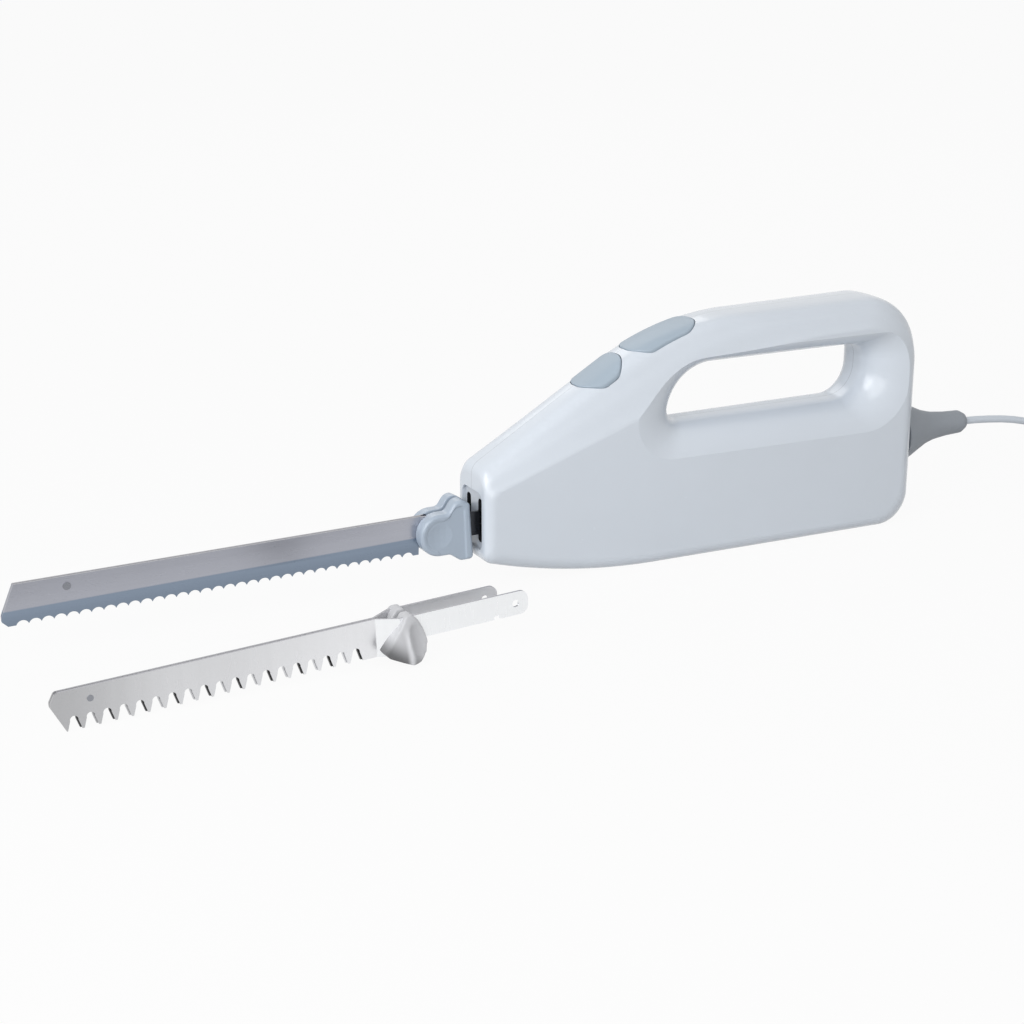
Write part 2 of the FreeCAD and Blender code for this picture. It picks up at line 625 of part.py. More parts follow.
def make_housing():
    """The two shells, their screws and the nose plate."""
    reach = S.housing_reach
    span = S.housing_span
    below = box((-span, -reach, -reach), (span, reach, NOUGHT))
    body = cut(free_shape(housing_solid(0.0)), free_shape(hole_solid(0.0)), below)
    wall = float(S.wall)
    cavity = cut(free_shape(housing_solid(wall)), free_shape(hole_solid(wall)))
    hollow = cut(body, cavity)
    bosses = [rod(S.boss_radius, reach * 2, x, -reach, z, ALONG_Y) for x, z in screw_places()]
    release_seat = FLANGE_LOW - S.release_spring_length - S.spring_gap * 2
    power_seat = FLANGE_LOW - S.power_spring_length - S.spring_gap * 2
    shelves = [
        RELEASE.block((S.release_spring_u - S.shelf_half, -reach, release_seat - S.shelf_thickness),
                      (S.release_spring_u + S.shelf_half, reach, release_seat)),
        POWER.block((S.power_spring_u - S.shelf_half, -reach, power_seat - S.shelf_thickness),
                    (S.power_spring_u + S.shelf_half, reach, power_seat)),
        POWER.block((S.switch_u - S.switch_length / 2, -reach, SWITCH_LOW - S.shelf_thickness),
                    (S.switch_u + S.switch_length / 2, reach, SWITCH_LOW))]
    inside = common(body, fuse(*bosses, *shelves))
    gap = S.button_gap * 2
    openings = [
        RELEASE.pad(S.release_length + gap, S.button_width + gap, S.button_corner + S.button_gap,
                    -S.button_depth * 2, S.button_top),
        POWER.pad(S.power_length + gap, S.button_width + gap, S.button_corner + S.button_gap,
                  -S.button_depth * 2, S.button_top),
        plate_block(S.plate_gap, S.nose_x - S.cut_over, S.nose_x + S.wall * 2),
        rod(S.boot_neck_radius + S.boot_gap, S.wall * 2 + S.cut_over, S.rear_x - S.wall * 2, NOUGHT,
            S.cord_z, ALONG_X)]
    whole = cut(fuse(hollow, inside), *openings)
    left = common(whole, box((-span, -reach, -reach), (span, S.parting_y, S.housing_over)))
    right = common(whole, box((-span, S.parting_y, -reach), (span, reach, S.housing_over)))
    pilots, screws, ways = [], [], []
    for x, z in screw_places():
        seat, depth = S.screw_seat_y, S.screw_depth
        pilots.append(rod(S.screw_radius, depth + S.cut_over, x, -depth, z, ALONG_Y))
        ways.append(rod(S.screw_hole_radius, seat + S.cut_over, x, -S.cut_over, z, ALONG_Y))
        ways.append(rod(S.head_bore_radius, reach, x, seat, z, ALONG_Y))
        shank = rod(S.screw_radius, depth + seat, x, -depth, z, ALONG_Y)
        screws.append(fuse(shank, rod(S.screw_head_radius, S.screw_head_height, x, seat, z, ALONG_Y)))
    node("shell_left", cut(left, *pilots))
    node("shell_right", cut(right, *ways))
    node("housing_screws", group(*screws))


def plate_block(extra, front, rear):
    """Rounded block of the nose plate's outline between two places along X."""
    maker = Maker()
    half = S.plate_half_width + extra
    low, high = S.plate_low_z - extra, S.plate_top_z + extra
    drawing = maker.outline("YZ_Plane", ((-half, low), (half, low), (half, high), (-half, high)), front)
    maker.pad(drawing, rear - front)
    maker.fillet(S.plate_corner, runs_along(Vector(1, 0, 0)))
    return maker.body


def make_nose_plate():
    """White front plate with the two tang slots."""
    rear = S.nose_x + S.plate_thickness
    face = plate_block(NOUGHT, S.nose_x + S.plate_recess, rear)
    flange = plate_block(S.plate_flange, S.nose_x + S.wall + S.plate_seat, rear)
    slots = []
    for side in (-1, 1):
        maker = Maker()
        half = S.slot_width / 2
        middle = side * S.tang_y
        drawing = maker.outline("YZ_Plane", (
            (middle - half, S.slot_low_z), (middle + half, S.slot_low_z),
            (middle + half, S.slot_top_z), (middle - half, S.slot_top_z)), S.nose_x - S.cut_over)
        maker.pad(drawing, S.plate_thickness + S.cut_over * 2)
        maker.fillet(half - S.press_gap, runs_along(Vector(1, 0, 0)))
        slots.append(maker.body)
    node("nose_plate", cut(fuse(face, flange), *slots))


def button_cap(frame, length):
    """Cap that follows the housing's surface, a little proud of it."""
    prism = frame.pad(length, S.button_width, S.button_corner, -S.button_depth, S.button_top)
    return common(prism, free_shape(housing_solid(-float(S.button_proud))))


def make_buttons():
    """On button, blade release button, their springs and the switch."""
    half = S.flange_half_width
    power_flange = POWER.block((-S.power_flange_front, -half, FLANGE_LOW),
                               (S.power_flange_rear, half, -S.button_depth + S.press_gap))
    node("power_button", fuse(button_cap(POWER, S.power_length), power_flange))
    release_flange = RELEASE.block((-S.release_flange_front, -half, FLANGE_LOW),
                                   (S.release_flange_rear, half, -S.button_depth + S.press_gap))
    stem = Maker()
    wedge_x = S.tang_hole_x - S.wedge_length / 2
    drawing = stem.outline("XZ_Plane", (
        (wedge_x, S.wedge_bottom_z + S.wedge_height / 2),
        (wedge_x + S.wedge_length, S.wedge_bottom_z + S.wedge_height / 2),
        (S.stem_knee_x, S.stem_knee_z), (S.stem_rear_x, S.stem_rear_z),
        (S.stem_rear_x + S.stem_half, RELEASE_Z - S.stem_rear_drop),
        (S.stem_rear_x + S.stem_half - S.stem_top_length, RELEASE_Z - S.stem_front_drop),
        (S.stem_bend_x, S.stem_bend_z)))
    stem.pad(drawing, S.stem_half * 2, symmetric=True)
    wedge = Maker()
    wide = S.wedge_half + S.wedge_flare
    shoulder = S.wedge_bottom_z + S.wedge_flare_height
    top = S.wedge_bottom_z + S.wedge_height
    drawing = wedge.outline("YZ_Plane", (
        (-S.wedge_half, S.wedge_bottom_z), (S.wedge_half, S.wedge_bottom_z), (wide, shoulder),
        (wide, top), (-wide, top), (-wide, shoulder)), wedge_x)
    wedge.pad(drawing, S.wedge_length)
    node("release_button",
         fuse(button_cap(RELEASE, S.release_length), release_flange, stem.body, wedge.body))
    for name, frame, u, length in (
            ("power_spring", POWER, S.power_spring_u, S.power_spring_length),
            ("release_spring", RELEASE, S.release_spring_u, S.release_spring_length)):
        drop = FLANGE_LOW - S.spring_gap - length
        coil = free_shape(spring_shape(length - S.spring_wire_radius * 2))
        node(name, frame.place(coil, u, NOUGHT, drop + S.spring_wire_radius))
    case = POWER.block((S.switch_u - S.switch_length / 2, -S.switch_width / 2, SWITCH_LOW),
                       (S.switch_u + S.switch_length / 2, S.switch_width / 2, SWITCH_TOP))
    bore = document.addObject("Part::Cylinder", "bore")
    bind(bore, "Radius", S.plunger_radius + S.plunger_gap)
    bind(bore, "Height", S.plunger_bore + S.cut_over)
    POWER.place(bore, S.switch_u, NOUGHT, SWITCH_TOP - S.plunger_bore)
    node("switch_body", cut(case, bore))
    plunger = document.addObject("Part::Cylinder", "plunger")
    bind(plunger, "Radius", S.plunger_radius)
    bind(plunger, "Height", FLANGE_LOW - S.press_gap - SWITCH_TOP + S.plunger_sink)
    node("switch_plunger", POWER.place(plunger, S.switch_u, NOUGHT, SWITCH_TOP - S.plunger_sink))


# Gear drive: worm on the motor shaft, wheel above it with a crank on each side.

def make_worm():
    pitch = float(S.module) * math.pi
    length = pitch * float(S.worm_turns)
    root = float(S.worm_root) - float(S.thread_sink)
    outer = float(S.worm_outer)
    wide, narrow = float(S.thread_root_half), float(S.thread_tip_half)
    helix = Part.makeLongHelix(pitch, length, outer, 0, False)
    section = Part.makePolygon([Vector(root, 0, -wide), Vector(outer, 0, -narrow),
                                Vector(outer, 0, narrow), Vector(root, 0, wide), Vector(root, 0, -wide)])
    thread = Part.Wire(helix.Edges).makePipeShell([section], True, True)
    hub = float(S.worm_hub)
    core = Part.makeCylinder(float(S.worm_root), length + hub * 2, Vector(0, 0, -hub))
    bore = Part.makeCylinder(float(S.shaft_radius), length + hub * 4, Vector(0, 0, -hub * 2))
    worm = core.fuse(thread).cut(bore)
    # The helix starts on local X, which this turn brings to +Z while local Z becomes +X.
    turned = Rotation(Vector(0, 1, 0), 90).multiply(Rotation(Vector(0, 0, 1), 180))
    start = S.wheel_x - S.module * math.pi * (S.worm_turns / 2)
    node("worm", settle(free_shape(worm.Solids[0]), start, NOUGHT, S.shaft_z, turned))


def make_wheel():
    """Worm wheel, its two cranks half a turn apart, and its axle."""
    pitch_radius = S.module * S.wheel_teeth / 2
    outer = pitch_radius + S.tooth_out
    root = pitch_radius - S.tooth_in
    wheel = Maker()
    wheel.pad(wheel.circle("XZ_Plane", (NOUGHT, NOUGHT), outer), S.wheel_half * 2, symmetric=True)
    wheel.pocket(wheel.circle("XZ_Plane", (NOUGHT, NOUGHT), S.axle_radius + S.running_gap),
                 S.wheel_half * 4, symmetric=True)
    gap = wheel.pocket(wheel.outline("XZ_Plane", (
        (-S.gap_in / 2, -root), (-S.gap_out / 2, -outer - S.tooth_out),
        (S.gap_out / 2, -outer - S.tooth_out), (S.gap_in / 2, -root))), S.wheel_half * 4, symmetric=True)
    wheel.polar([gap], "Y_Axis", S.wheel_teeth)
    node("worm_wheel", settle(wheel.body, S.wheel_x, NOUGHT, S.wheel_z))
    cranks = []
    for side in (-1, 1):
        length = S.crank_end_y - S.wheel_half
        start = S.wheel_half if side > 0 else -S.crank_end_y
        disc = rod(S.crank_radius, length, S.wheel_x, start, S.wheel_z - side * S.crank_throw, ALONG_Y)
        bore = rod(S.axle_radius + S.running_gap, length * 3, S.wheel_x, start - length, S.wheel_z, ALONG_Y)
        cranks.append(cut(disc, bore))
    node("crank_discs", group(*cranks))
    end = S.cheek_y + S.cheek_thickness
    node("wheel_axle", rod(S.axle_radius, end * 2, S.wheel_x, -end, S.wheel_z, ALONG_Y))


def make_drive_bars():
    """Bars that the cranks push to and fro, each with a latch for its blade's tang."""
    long_half = S.crank_throw + S.travel + S.crank_radius + S.window_gap
    tall_half = S.crank_throw + S.crank_radius + S.window_gap
    front, rear = S.wheel_x - long_half - S.ring_rim, S.wheel_x + long_half + S.ring_rim
    low, high = S.wheel_z - tall_half - S.ring_rim, S.wheel_z + tall_half + S.ring_rim
    outer = S.bar_inner_y + S.bar_thickness
    for name, side in (("left", -1), ("right", 1)):
        bar = Maker()
        inner = S.bar_inner_y if side < 0 else -outer
        drawing = bar.outline("XZ_Plane", (
            (S.bar_front_x, S.bar_low_z), (front + S.ring_rim, S.bar_low_z),
            (front + S.ring_rim * 2, low), (rear, low), (rear, high), (front, high),
            (front, S.bar_top_z + S.ring_rim), (front - S.ring_rim, S.bar_top_z),
            (S.bar_front_x, S.bar_top_z)), inner)
        bar.pad(drawing, S.bar_thickness)
        bar.pocket(bar.outline("XZ_Plane", (
            (S.wheel_x - long_half, S.wheel_z - tall_half), (S.wheel_x + long_half, S.wheel_z - tall_half),
            (S.wheel_x + long_half, S.wheel_z + tall_half), (S.wheel_x - long_half, S.wheel_z + tall_half))),
            outer * 4, symmetric=True)
        bar.pocket(bar.circle("XZ_Plane", (S.tang_hole_x, S.tang_hole_z), S.pin_hole_radius),
                   outer * 4, symmetric=True)
        node(f"drive_bar_{name}", bar.body)
        leaf_in = outer + S.latch_gap
        leaf_out = leaf_in + S.latch_thickness
        leaf_low, leaf_high = (leaf_in, leaf_out) if side > 0 else (-leaf_out, -leaf_in)
        leaf = box((S.latch_front_x, leaf_low, S.latch_low_z), (S.latch_rear_x, leaf_high, S.latch_top_z))
        pin_start = S.pin_tip_y if side > 0 else -leaf_out
        pin = rod(S.pin_radius, leaf_out - S.pin_tip_y, S.tang_hole_x, pin_start, S.tang_hole_z, ALONG_Y)
        node(f"latch_{name}", fuse(leaf, pin))


def make_gear_frame():
    """Frame that carries the wheel's axle, the shaft's front bush and the bars."""
    floor_top = S.frame_low_z + S.frame_floor
    floor = Maker()
    chamfer = S.frame_floor
    floor.pad(floor.outline("YZ_Plane", (
        (-S.frame_half + chamfer, S.frame_low_z), (S.frame_half - chamfer, S.frame_low_z),
        (S.frame_half, floor_top), (-S.frame_half, floor_top)), S.frame_front_x),
        S.frame_rear_x - S.frame_front_x)
    post = Maker()
    step = S.bar_low_z - S.guide_gap
    outer = S.cheek_y + S.cheek_thickness
    sink = floor_top - S.press_gap
    post.pad(post.outline("YZ_Plane", (
        (-outer, sink), (outer, sink), (outer, S.cheek_top_z), (S.cheek_y, S.cheek_top_z),
        (S.cheek_y, step), (S.post_half, step), (S.post_half, S.post_top_z), (-S.post_half, S.post_top_z),
        (-S.post_half, step), (-S.cheek_y, step), (-S.cheek_y, S.cheek_top_z), (-outer, S.cheek_top_z)),
        S.frame_front_x), S.post_thickness)
    walls = []
    for side in (-1, 1):
        start, end = (S.cheek_y, outer) if side > 0 else (-outer, -S.cheek_y)
        walls.append(box((S.cheek_front_x, start, sink), (S.cheek_rear_x, end, S.axle_wall_top_z)))
    walls.append(box((S.frame_rear_x - S.frame_foot, -S.frame_foot_half, S.frame_foot_low),
                     (S.frame_rear_x, S.frame_foot_half, floor_top)))
    bush_hole = rod(S.bush_radius, S.post_thickness * 3, S.frame_front_x - S.post_thickness, NOUGHT,
                    S.shaft_z, ALONG_X)
    axle_hole = rod(S.axle_radius, outer * 4, S.wheel_x, -outer * 2, S.wheel_z, ALONG_Y)
    node("gear_frame", cut(fuse(floor.body, post.body, *walls), bush_hole, axle_hole))


# Motor: every piece is centred on the shaft at Y = 0, Z = shaft_z.

def ring_solid(outer, inner, length, x):
    """Tube along X around the shaft."""
    tube = rod(outer, length, x, NOUGHT, S.shaft_z, ALONG_X)
    bore = rod(inner, length * 3, x - length, NOUGHT, S.shaft_z, ALONG_X)
    return cut(tube, bore)


def make_bearings():
    bore = S.shaft_radius + S.running_gap
    node("front_bearing", ring_solid(S.bush_radius, bore, S.bush_length, S.frame_front_x))
    middle = S.rear_bracket_x + S.bracket_thickness / 2
    node("rear_bearing", ring_solid(S.bush_radius, bore, S.bush_length, middle - S.bush_length / 2))


def make_stator():
    front = S.stack_x - S.stack_length / 2
    rear = S.stack_x + S.stack_length / 2
    stack = Maker()
    wide, tall = S.stack_half_width, S.stack_half_height
    stack.pad(stack.outline("YZ_Plane", ((-wide, -tall), (wide, -tall), (wide, tall), (-wide, tall)), front),
              S.stack_length)
    stack.fillet(S.stack_corner, runs_along(Vector(1, 0, 0)))
    settle(stack.body, NOUGHT, NOUGHT, S.shaft_z)
    tools = [rod(S.stack_bore, S.stack_length * 2, front - S.cut_over, NOUGHT, S.shaft_z, ALONG_X)]
    gap = S.coil_gap
    for across in (-1, 1):
        for up in (-1, 1):
            inner, outer = S.coil_inner_y - gap, S.coil_outer_y + gap
            low, high = S.window_low, S.coil_high + gap
            ys = (inner, outer) if across > 0 else (-outer, -inner)
            zs = (S.shaft_z + low, S.shaft_z + high) if up > 0 else (S.shaft_z - high, S.shaft_z - low)
            tools.append(box((front - S.cut_over, ys[0], zs[0]), (rear + S.cut_over, ys[1], zs[1])))
            tools.append(rod(S.bolt_radius, S.stack_length * 2, front - S.cut_over, across * S.bolt_y,
                             S.shaft_z + up * S.bolt_z, ALONG_X))
    node("stator_core", cut(stack.body, *tools))
    coils = []
    for up in (-1, 1):
        ends = S.coil_low, S.coil_high
        low, high = (S.shaft_z + ends[0], S.shaft_z + ends[1]) if up > 0 else (
            S.shaft_z - ends[1], S.shaft_z - ends[0])
        whole = box((front - S.coil_end, -S.coil_outer_y, low), (rear + S.coil_end, S.coil_outer_y, high))
        middle = box((front - gap, -S.coil_inner_y, low - S.cut_over),
                     (rear + gap, S.coil_inner_y, high + S.cut_over))
        coils.append(cut(whole, middle))
    node("field_coils", group(*coils))


def make_rotor():
    front = S.stack_x - S.stack_length / 2
    node("motor_shaft", rod(S.shaft_radius, S.shaft_rear_x - S.shaft_front_x, S.shaft_front_x, NOUGHT,
                            S.shaft_z, ALONG_X))
    core = Maker()
    core.pad(core.circle("YZ_Plane", (NOUGHT, NOUGHT), S.armature_radius, front), S.stack_length)
    core.pocket(core.circle("YZ_Plane", (NOUGHT, NOUGHT), S.shaft_radius, front), S.stack_length * 2,
                symmetric=True)
    half = S.armature_slot / 2
    slot = core.pocket(core.outline("YZ_Plane", (
        (-half, S.armature_radius - S.slot_depth), (half, S.armature_radius - S.slot_depth),
        (half, S.armature_radius + S.cut_over), (-half, S.armature_radius + S.cut_over)), front),
        S.stack_length * 2, symmetric=True)
    core.polar([slot], "X_Axis", S.armature_slots)
    node("armature_core", settle(core.body, NOUGHT, NOUGHT, S.shaft_z))
    windings = []
    for x in (front - S.winding_length, front + S.stack_length):
        turn = Maker()
        turn.pad(turn.circle("YZ_Plane", (NOUGHT, NOUGHT), S.winding_outer, x), S.winding_length)
        turn.fillet(S.winding_round, lambda edge: isinstance(edge.Curve, Part.Circle))
        turn.pocket(turn.circle("YZ_Plane", (NOUGHT, NOUGHT), S.winding_inner, x), S.stack_length * 2,
                    symmetric=True)
        windings.append(settle(turn.body, NOUGHT, NOUGHT, S.shaft_z))
    node("armature_winding", group(*windings))
    bars = Maker()
    bars.pad(bars.circle("YZ_Plane", (NOUGHT, NOUGHT), S.commutator_radius, S.commutator_x),
             S.commutator_length)
    bars.pocket(bars.circle("YZ_Plane", (NOUGHT, NOUGHT), S.shaft_radius, S.commutator_x),
                S.commutator_length * 4, symmetric=True)
    half = S.commutator_slot / 2
    slot = bars.pocket(bars.outline("YZ_Plane", (
        (-half, S.commutator_radius - S.commutator_slot_depth),
        (half, S.commutator_radius - S.commutator_slot_depth),
        (half, S.commutator_radius + S.cut_over), (-half, S.commutator_radius + S.cut_over)),
        S.commutator_x), S.commutator_length * 4, symmetric=True)
    bars.polar([slot], "X_Axis", S.armature_slots)
    node("commutator", settle(bars.body, NOUGHT, NOUGHT, S.shaft_z))
    fan = Maker()
    fan.pad(fan.circle("YZ_Plane", (NOUGHT, NOUGHT), S.fan_radius, S.fan_x), S.fan_disc)
    fan.pad(fan.circle("YZ_Plane", (NOUGHT, NOUGHT), S.fan_hub, S.fan_x), S.fan_length)
    half = S.fan_blade / 2
    vane = fan.pad(fan.outline("YZ_Plane", (
        (-half, S.fan_hub - S.fan_disc), (half, S.fan_hub - S.fan_disc),
        (half, S.fan_radius - S.fan_disc), (-half, S.fan_radius - S.fan_disc)), S.fan_x), S.fan_length)
    fan.polar([vane], "X_Axis", S.fan_blades)
    fan.pocket(fan.circle("YZ_Plane", (NOUGHT, NOUGHT), S.shaft_radius, S.fan_x), S.fan_length * 4,
               symmetric=True)
    node("cooling_fan", settle(fan.body, NOUGHT, NOUGHT, S.shaft_z))


def bracket(name, x, hole_radius):
    """Motor end plate that fits between the shells."""
    maker = Maker()
    half = half_width(x) - S.wall - S.bracket_gap
    low, high = S.wall + S.bracket_gap, S.bracket_top_z
    corner = S.bracket_corner
    drawing = maker.outline("YZ_Plane", (
        (-half + corner, low), (half - corner, low), (half, low + corner), (half, high - corner),
        (half - corner, high), (-half + corner, high), (-half, high - corner), (-half, low + corner)), x)
    maker.pad(drawing, S.bracket_thickness)
    tools = [rod(hole_radius, S.bracket_thickness * 3, x - S.bracket_thickness, NOUGHT, S.shaft_z, ALONG_X)]
    for across in (-1, 1):
        for up in (-1, 1):
            tools.append(rod(S.bolt_radius, S.bracket_thickness * 3, x - S.bracket_thickness,
                             across * S.bolt_y, S.shaft_z + up * S.bolt_z, ALONG_X))
    node(name, cut(maker.body, *tools))


def make_motor_mounts():
    bracket("front_bracket", S.front_bracket_x, S.bracket_window)
    bracket("rear_bracket", S.rear_bracket_x, S.bush_radius)
    bolts = []
    end = S.rear_bracket_x + S.bracket_thickness
    for across in (-1, 1):
        for up in (-1, 1):
            y, z = across * S.bolt_y, S.shaft_z + up * S.bolt_z
            shank = rod(S.bolt_radius, end - S.front_bracket_x, S.front_bracket_x, y, z, ALONG_X)
            head = rod(S.bolt_head, S.bolt_head_height, end, y, z, ALONG_X)
            bolts.append(fuse(shank, head))
    node("motor_bolts", group(*bolts))
    brushes, holders = [], []
    half = S.brush_width / 2
    for side in (-1, 1):
        near = S.commutator_radius + S.brush_gap
        start, stop = (near, near + S.brush_length) if side > 0 else (-near - S.brush_length, -near)
        brushes.append(box((S.brush_x - half, start, S.shaft_z - half),
                           (S.brush_x + half, stop, S.shaft_z + half)))
        wall = S.holder_wall + S.brush_gap
        ys = (S.holder_inner_y, S.holder_outer_y) if side > 0 else (-S.holder_outer_y, -S.holder_inner_y)
        case = box((S.brush_x - half - wall, ys[0], S.shaft_z - half - wall),
                   (S.rear_bracket_x, ys[1], S.shaft_z + half + wall))
        room = half + S.brush_gap
        tunnel = box((S.brush_x - room, ys[0] - S.cut_over, S.shaft_z - room),
                     (S.brush_x + room, ys[1] + S.cut_over, S.shaft_z + room))
        holders.append(cut(case, tunnel))
    node("carbon_brushes", group(*brushes))
    node("brush_holders", group(*holders))
    cap = Maker()
    half = S.capacitor_half
    cap.pad(cap.outline("YZ_Plane", (
        (-half, S.capacitor_low_z), (half, S.capacitor_low_z), (half, S.capacitor_top_z),
        (-half, S.capacitor_top_z)), S.rear_bracket_x + S.bracket_thickness), S.capacitor_length)
    cap.fillet(S.capacitor_round, runs_along(Vector(1, 0, 0)))
    node("suppressor_capacitor", cap.body)


# Blades: a bent strip in plan, trimmed from the side.

def blade_strip(maker, side, start, bend_start, bend_end, end, low, high):
    """Pad the plan of one blade: flat at the middle, stepped out to its tang."""
    inner = S.blade_gap
    outer = inner + S.blade_thickness
    tang_in = S.tang_y - S.blade_thickness / 2
    tang_out = S.tang_y + S.blade_thickness / 2
    points = ((start, inner), (bend_start, inner), (bend_end, tang_in), (end, tang_in), (end, tang_out),
              (bend_end, tang_out), (bend_start, outer), (start, outer))
    drawing = maker.outline("XY_Plane", [(x, side * y) for x, y in points], low)
    maker.pad(drawing, high - low)


def side_pocket(maker, points):
    """Cut a side-view outline right through the blade."""
    return maker.pocket(maker.outline("XZ_Plane", points), S.housing_reach, symmetric=True)


def side_hole(maker, x, z, radius):
    return maker.pocket(maker.circle("XZ_Plane", (x, z), radius), S.housing_reach, symmetric=True)


def outer_edge(side, low):
    """Test for the long lower edge on a blade's outer face."""
    along = runs_along(Vector(1, 0, 0))

    def test(edge):
        point = edge.CenterOfMass
        outer = float(S.blade_gap + S.blade_thickness)
        return along(edge) and abs(point.z - float(low)) < 0.01 and abs(side * point.y - outer) < 0.01
    return test


def tipped_down(thing):
    """Tip a fitted piece's point down about the pin hole of its tang."""
    x, z, tilt = S.tang_hole_x, S.tang_hole_z, S.blade_tilt
    return settle(thing, x - x * cosine(tilt) + z * sine(tilt), NOUGHT,
                  z - x * sine(tilt) - z * cosine(tilt), Rotation(Vector(0, 1, 0), -float(tilt)))


def fitted_blade(side):
    """One of the two serrated blades."""
    maker = Maker()
    low, high = S.blade_low_z, S.blade_top_z
    over = S.cut_over
    blade_strip(maker, side, S.tip_x, S.bend_start_x, S.bend_end_x, S.tang_end_x, low, high)
    side_pocket(maker, ((S.tang_start_x, low - over), (S.tang_end_x + over, low - over),
                        (S.tang_end_x + over, S.tang_low_z), (S.tang_start_x, S.tang_low_z)))
    bevel = maker.dress("Chamfer", "Size", S.bevel_height, outer_edge(side, low))
    bevel.ChamferType = "Two distances"
    bind(bevel, "Size2", S.bevel_depth)
    bevel.FlipDirection = True
    side_pocket(maker, ((S.tip_x - over, S.blade_low_z + S.tip_corner), (S.tip_x, low + S.tip_corner),
                        (S.tip_x + S.tip_slant, high + over), (S.tip_x - over, high + over)))
    side_pocket(maker, ((S.tip_x - over, low - over), (S.tip_x + S.tip_corner / 2, low - over),
                        (S.tip_x + S.tip_corner / 2, low), (S.tip_x, low + S.tip_corner / 2),
                        (S.tip_x - over, low + S.tip_corner / 2)))
    scoop = math.sqrt(float(S.tooth_radius) ** 2 - float(S.tooth_pitch) ** 2 / 4)
    tooth = side_hole(maker, S.tip_x + S.tooth_start, low - Size(scoop, str(scoop)), S.tooth_radius)
    maker.row([tooth], "X_Axis", S.tooth_pitch, S.tooth_count)
    side_hole(maker, S.tang_hole_x, S.tang_hole_z, S.pin_hole_radius)
    side_pocket(maker, ((S.notch_x, S.tang_low_z - over), (S.notch_x + S.notch_width, S.tang_low_z - over),
                        (S.notch_x + S.notch_width, S.tang_low_z + S.notch_depth),
                        (S.notch_x, S.tang_low_z + S.notch_depth)))
    slide_slot(maker, side, S.rivet_x, S.rivet_z, S.travel * 2, S.rivet_radius)
    return tipped_down(group(maker.body))


def slide_slot(maker, side, x, z, slide, radius):
    """Rivet hole in the left blade, sliding slot in the right one."""
    if side < 0:
        side_hole(maker, x, z, radius)
        return
    half = slide + radius + S.rivet_gap
    tall = radius + S.rivet_gap
    side_pocket(maker, ((x - half, z - tall), (x + half, z - tall), (x + half, z + tall),
                        (x - half, z + tall)))


def rivet_shape(x, z, radius):
    """Rivet from the left blade's outer face to a head behind the right blade."""
    outer = S.blade_gap + S.blade_thickness
    start = -outer - S.rivet_proud
    seat = outer + S.rivet_proud
    shank = rod(radius, seat - start, x, start, z, ALONG_Y)
    head = rod(S.rivet_head, S.rivet_head_height, x, seat, z, ALONG_Y)
    return fuse(shank, head)


def make_fitted_guard(name, side, blade):
    """Finger guard with a round lobe in front and a taller crown at the nose."""
    maker = Maker()
    front, rear, low = S.guard_front_x, S.guard_rear_x, S.guard_low_z
    rear_top = rear - S.guard_slant
    drop = S.guard_crown_radius / 2
    crown_rear = rear_top - S.guard_heel_radius - drop
    points = ((front, low), (S.guard_waist_x, low), (S.guard_heel_x, S.guard_heel_z),
              (rear, S.guard_heel_z), (rear_top, S.guard_top_z - drop), (crown_rear, S.guard_top_z),
              (S.guard_crown_x, S.guard_top_z), (S.guard_neck_x, S.guard_lobe_z), (front, S.guard_lobe_z))
    inner = S.guard_inner_y if side < 0 else -S.guard_outer_y
    maker.pad(maker.outline("XZ_Plane", points, inner), S.guard_outer_y - S.guard_inner_y)
    lobe = S.guard_lobe_radius
    maker.fillet(lobe, lambda edge: any(corner_near(front, z)(edge) for z in (low, S.guard_lobe_z)))
    maker.fillet(S.guard_crown_radius, corner_near(S.guard_crown_x, S.guard_top_z))
    maker.fillet(S.guard_neck_radius, lambda edge: any(corner_near(x, z)(edge) for x, z in (
        (S.guard_neck_x, S.guard_lobe_z), (S.guard_waist_x, low), (S.guard_heel_x, S.guard_heel_z))))
    maker.fillet(S.guard_heel_radius, lambda edge: any(corner_near(x, z)(edge) for x, z in (
        (rear, S.guard_heel_z), (rear_top, S.guard_top_z - drop), (crown_rear, S.guard_top_z))))
    maker.fillet(S.guard_rim, lies_at("y", side * S.guard_outer_y))
    ball = document.addObject("Part::Sphere", "dish")
    bind(ball, "Radius", S.dish_radius)
    settle(ball, front + lobe, side * (S.guard_outer_y + S.dish_radius - S.dish_depth), low + lobe)
    node(name, cut(maker.body, ball, blade))


def make_fitted_blades():
    for name, side in (("left", -1), ("right", 1)):
        blade = node(f"blade_{name}", fitted_blade(side))
        make_fitted_guard(f"guard_{name}", side, blade)
    node("tip_rivet", tipped_down(rivet_shape(S.rivet_x, S.rivet_z, S.rivet_radius)))


# Spare pair: deep-toothed blades that lie on their knobs and tip in front of the knife.

SPARE_TILT = arc_tangent(-S.knob_low / (S.knob_low_x - S.spare_tip_foot))


def lay_down(thing):
    """Move a piece from the spare pair's own frame to its place beside the knife."""
    turned = Rotation(Vector(0, 0, 1), float(S.spare_turn))
    tilted = Rotation(Vector(0, 1, 0), -float(SPARE_TILT))
    return settle(thing, S.spare_x, S.spare_y, -S.spare_tip_foot * sine(SPARE_TILT), turned.multiply(tilted))


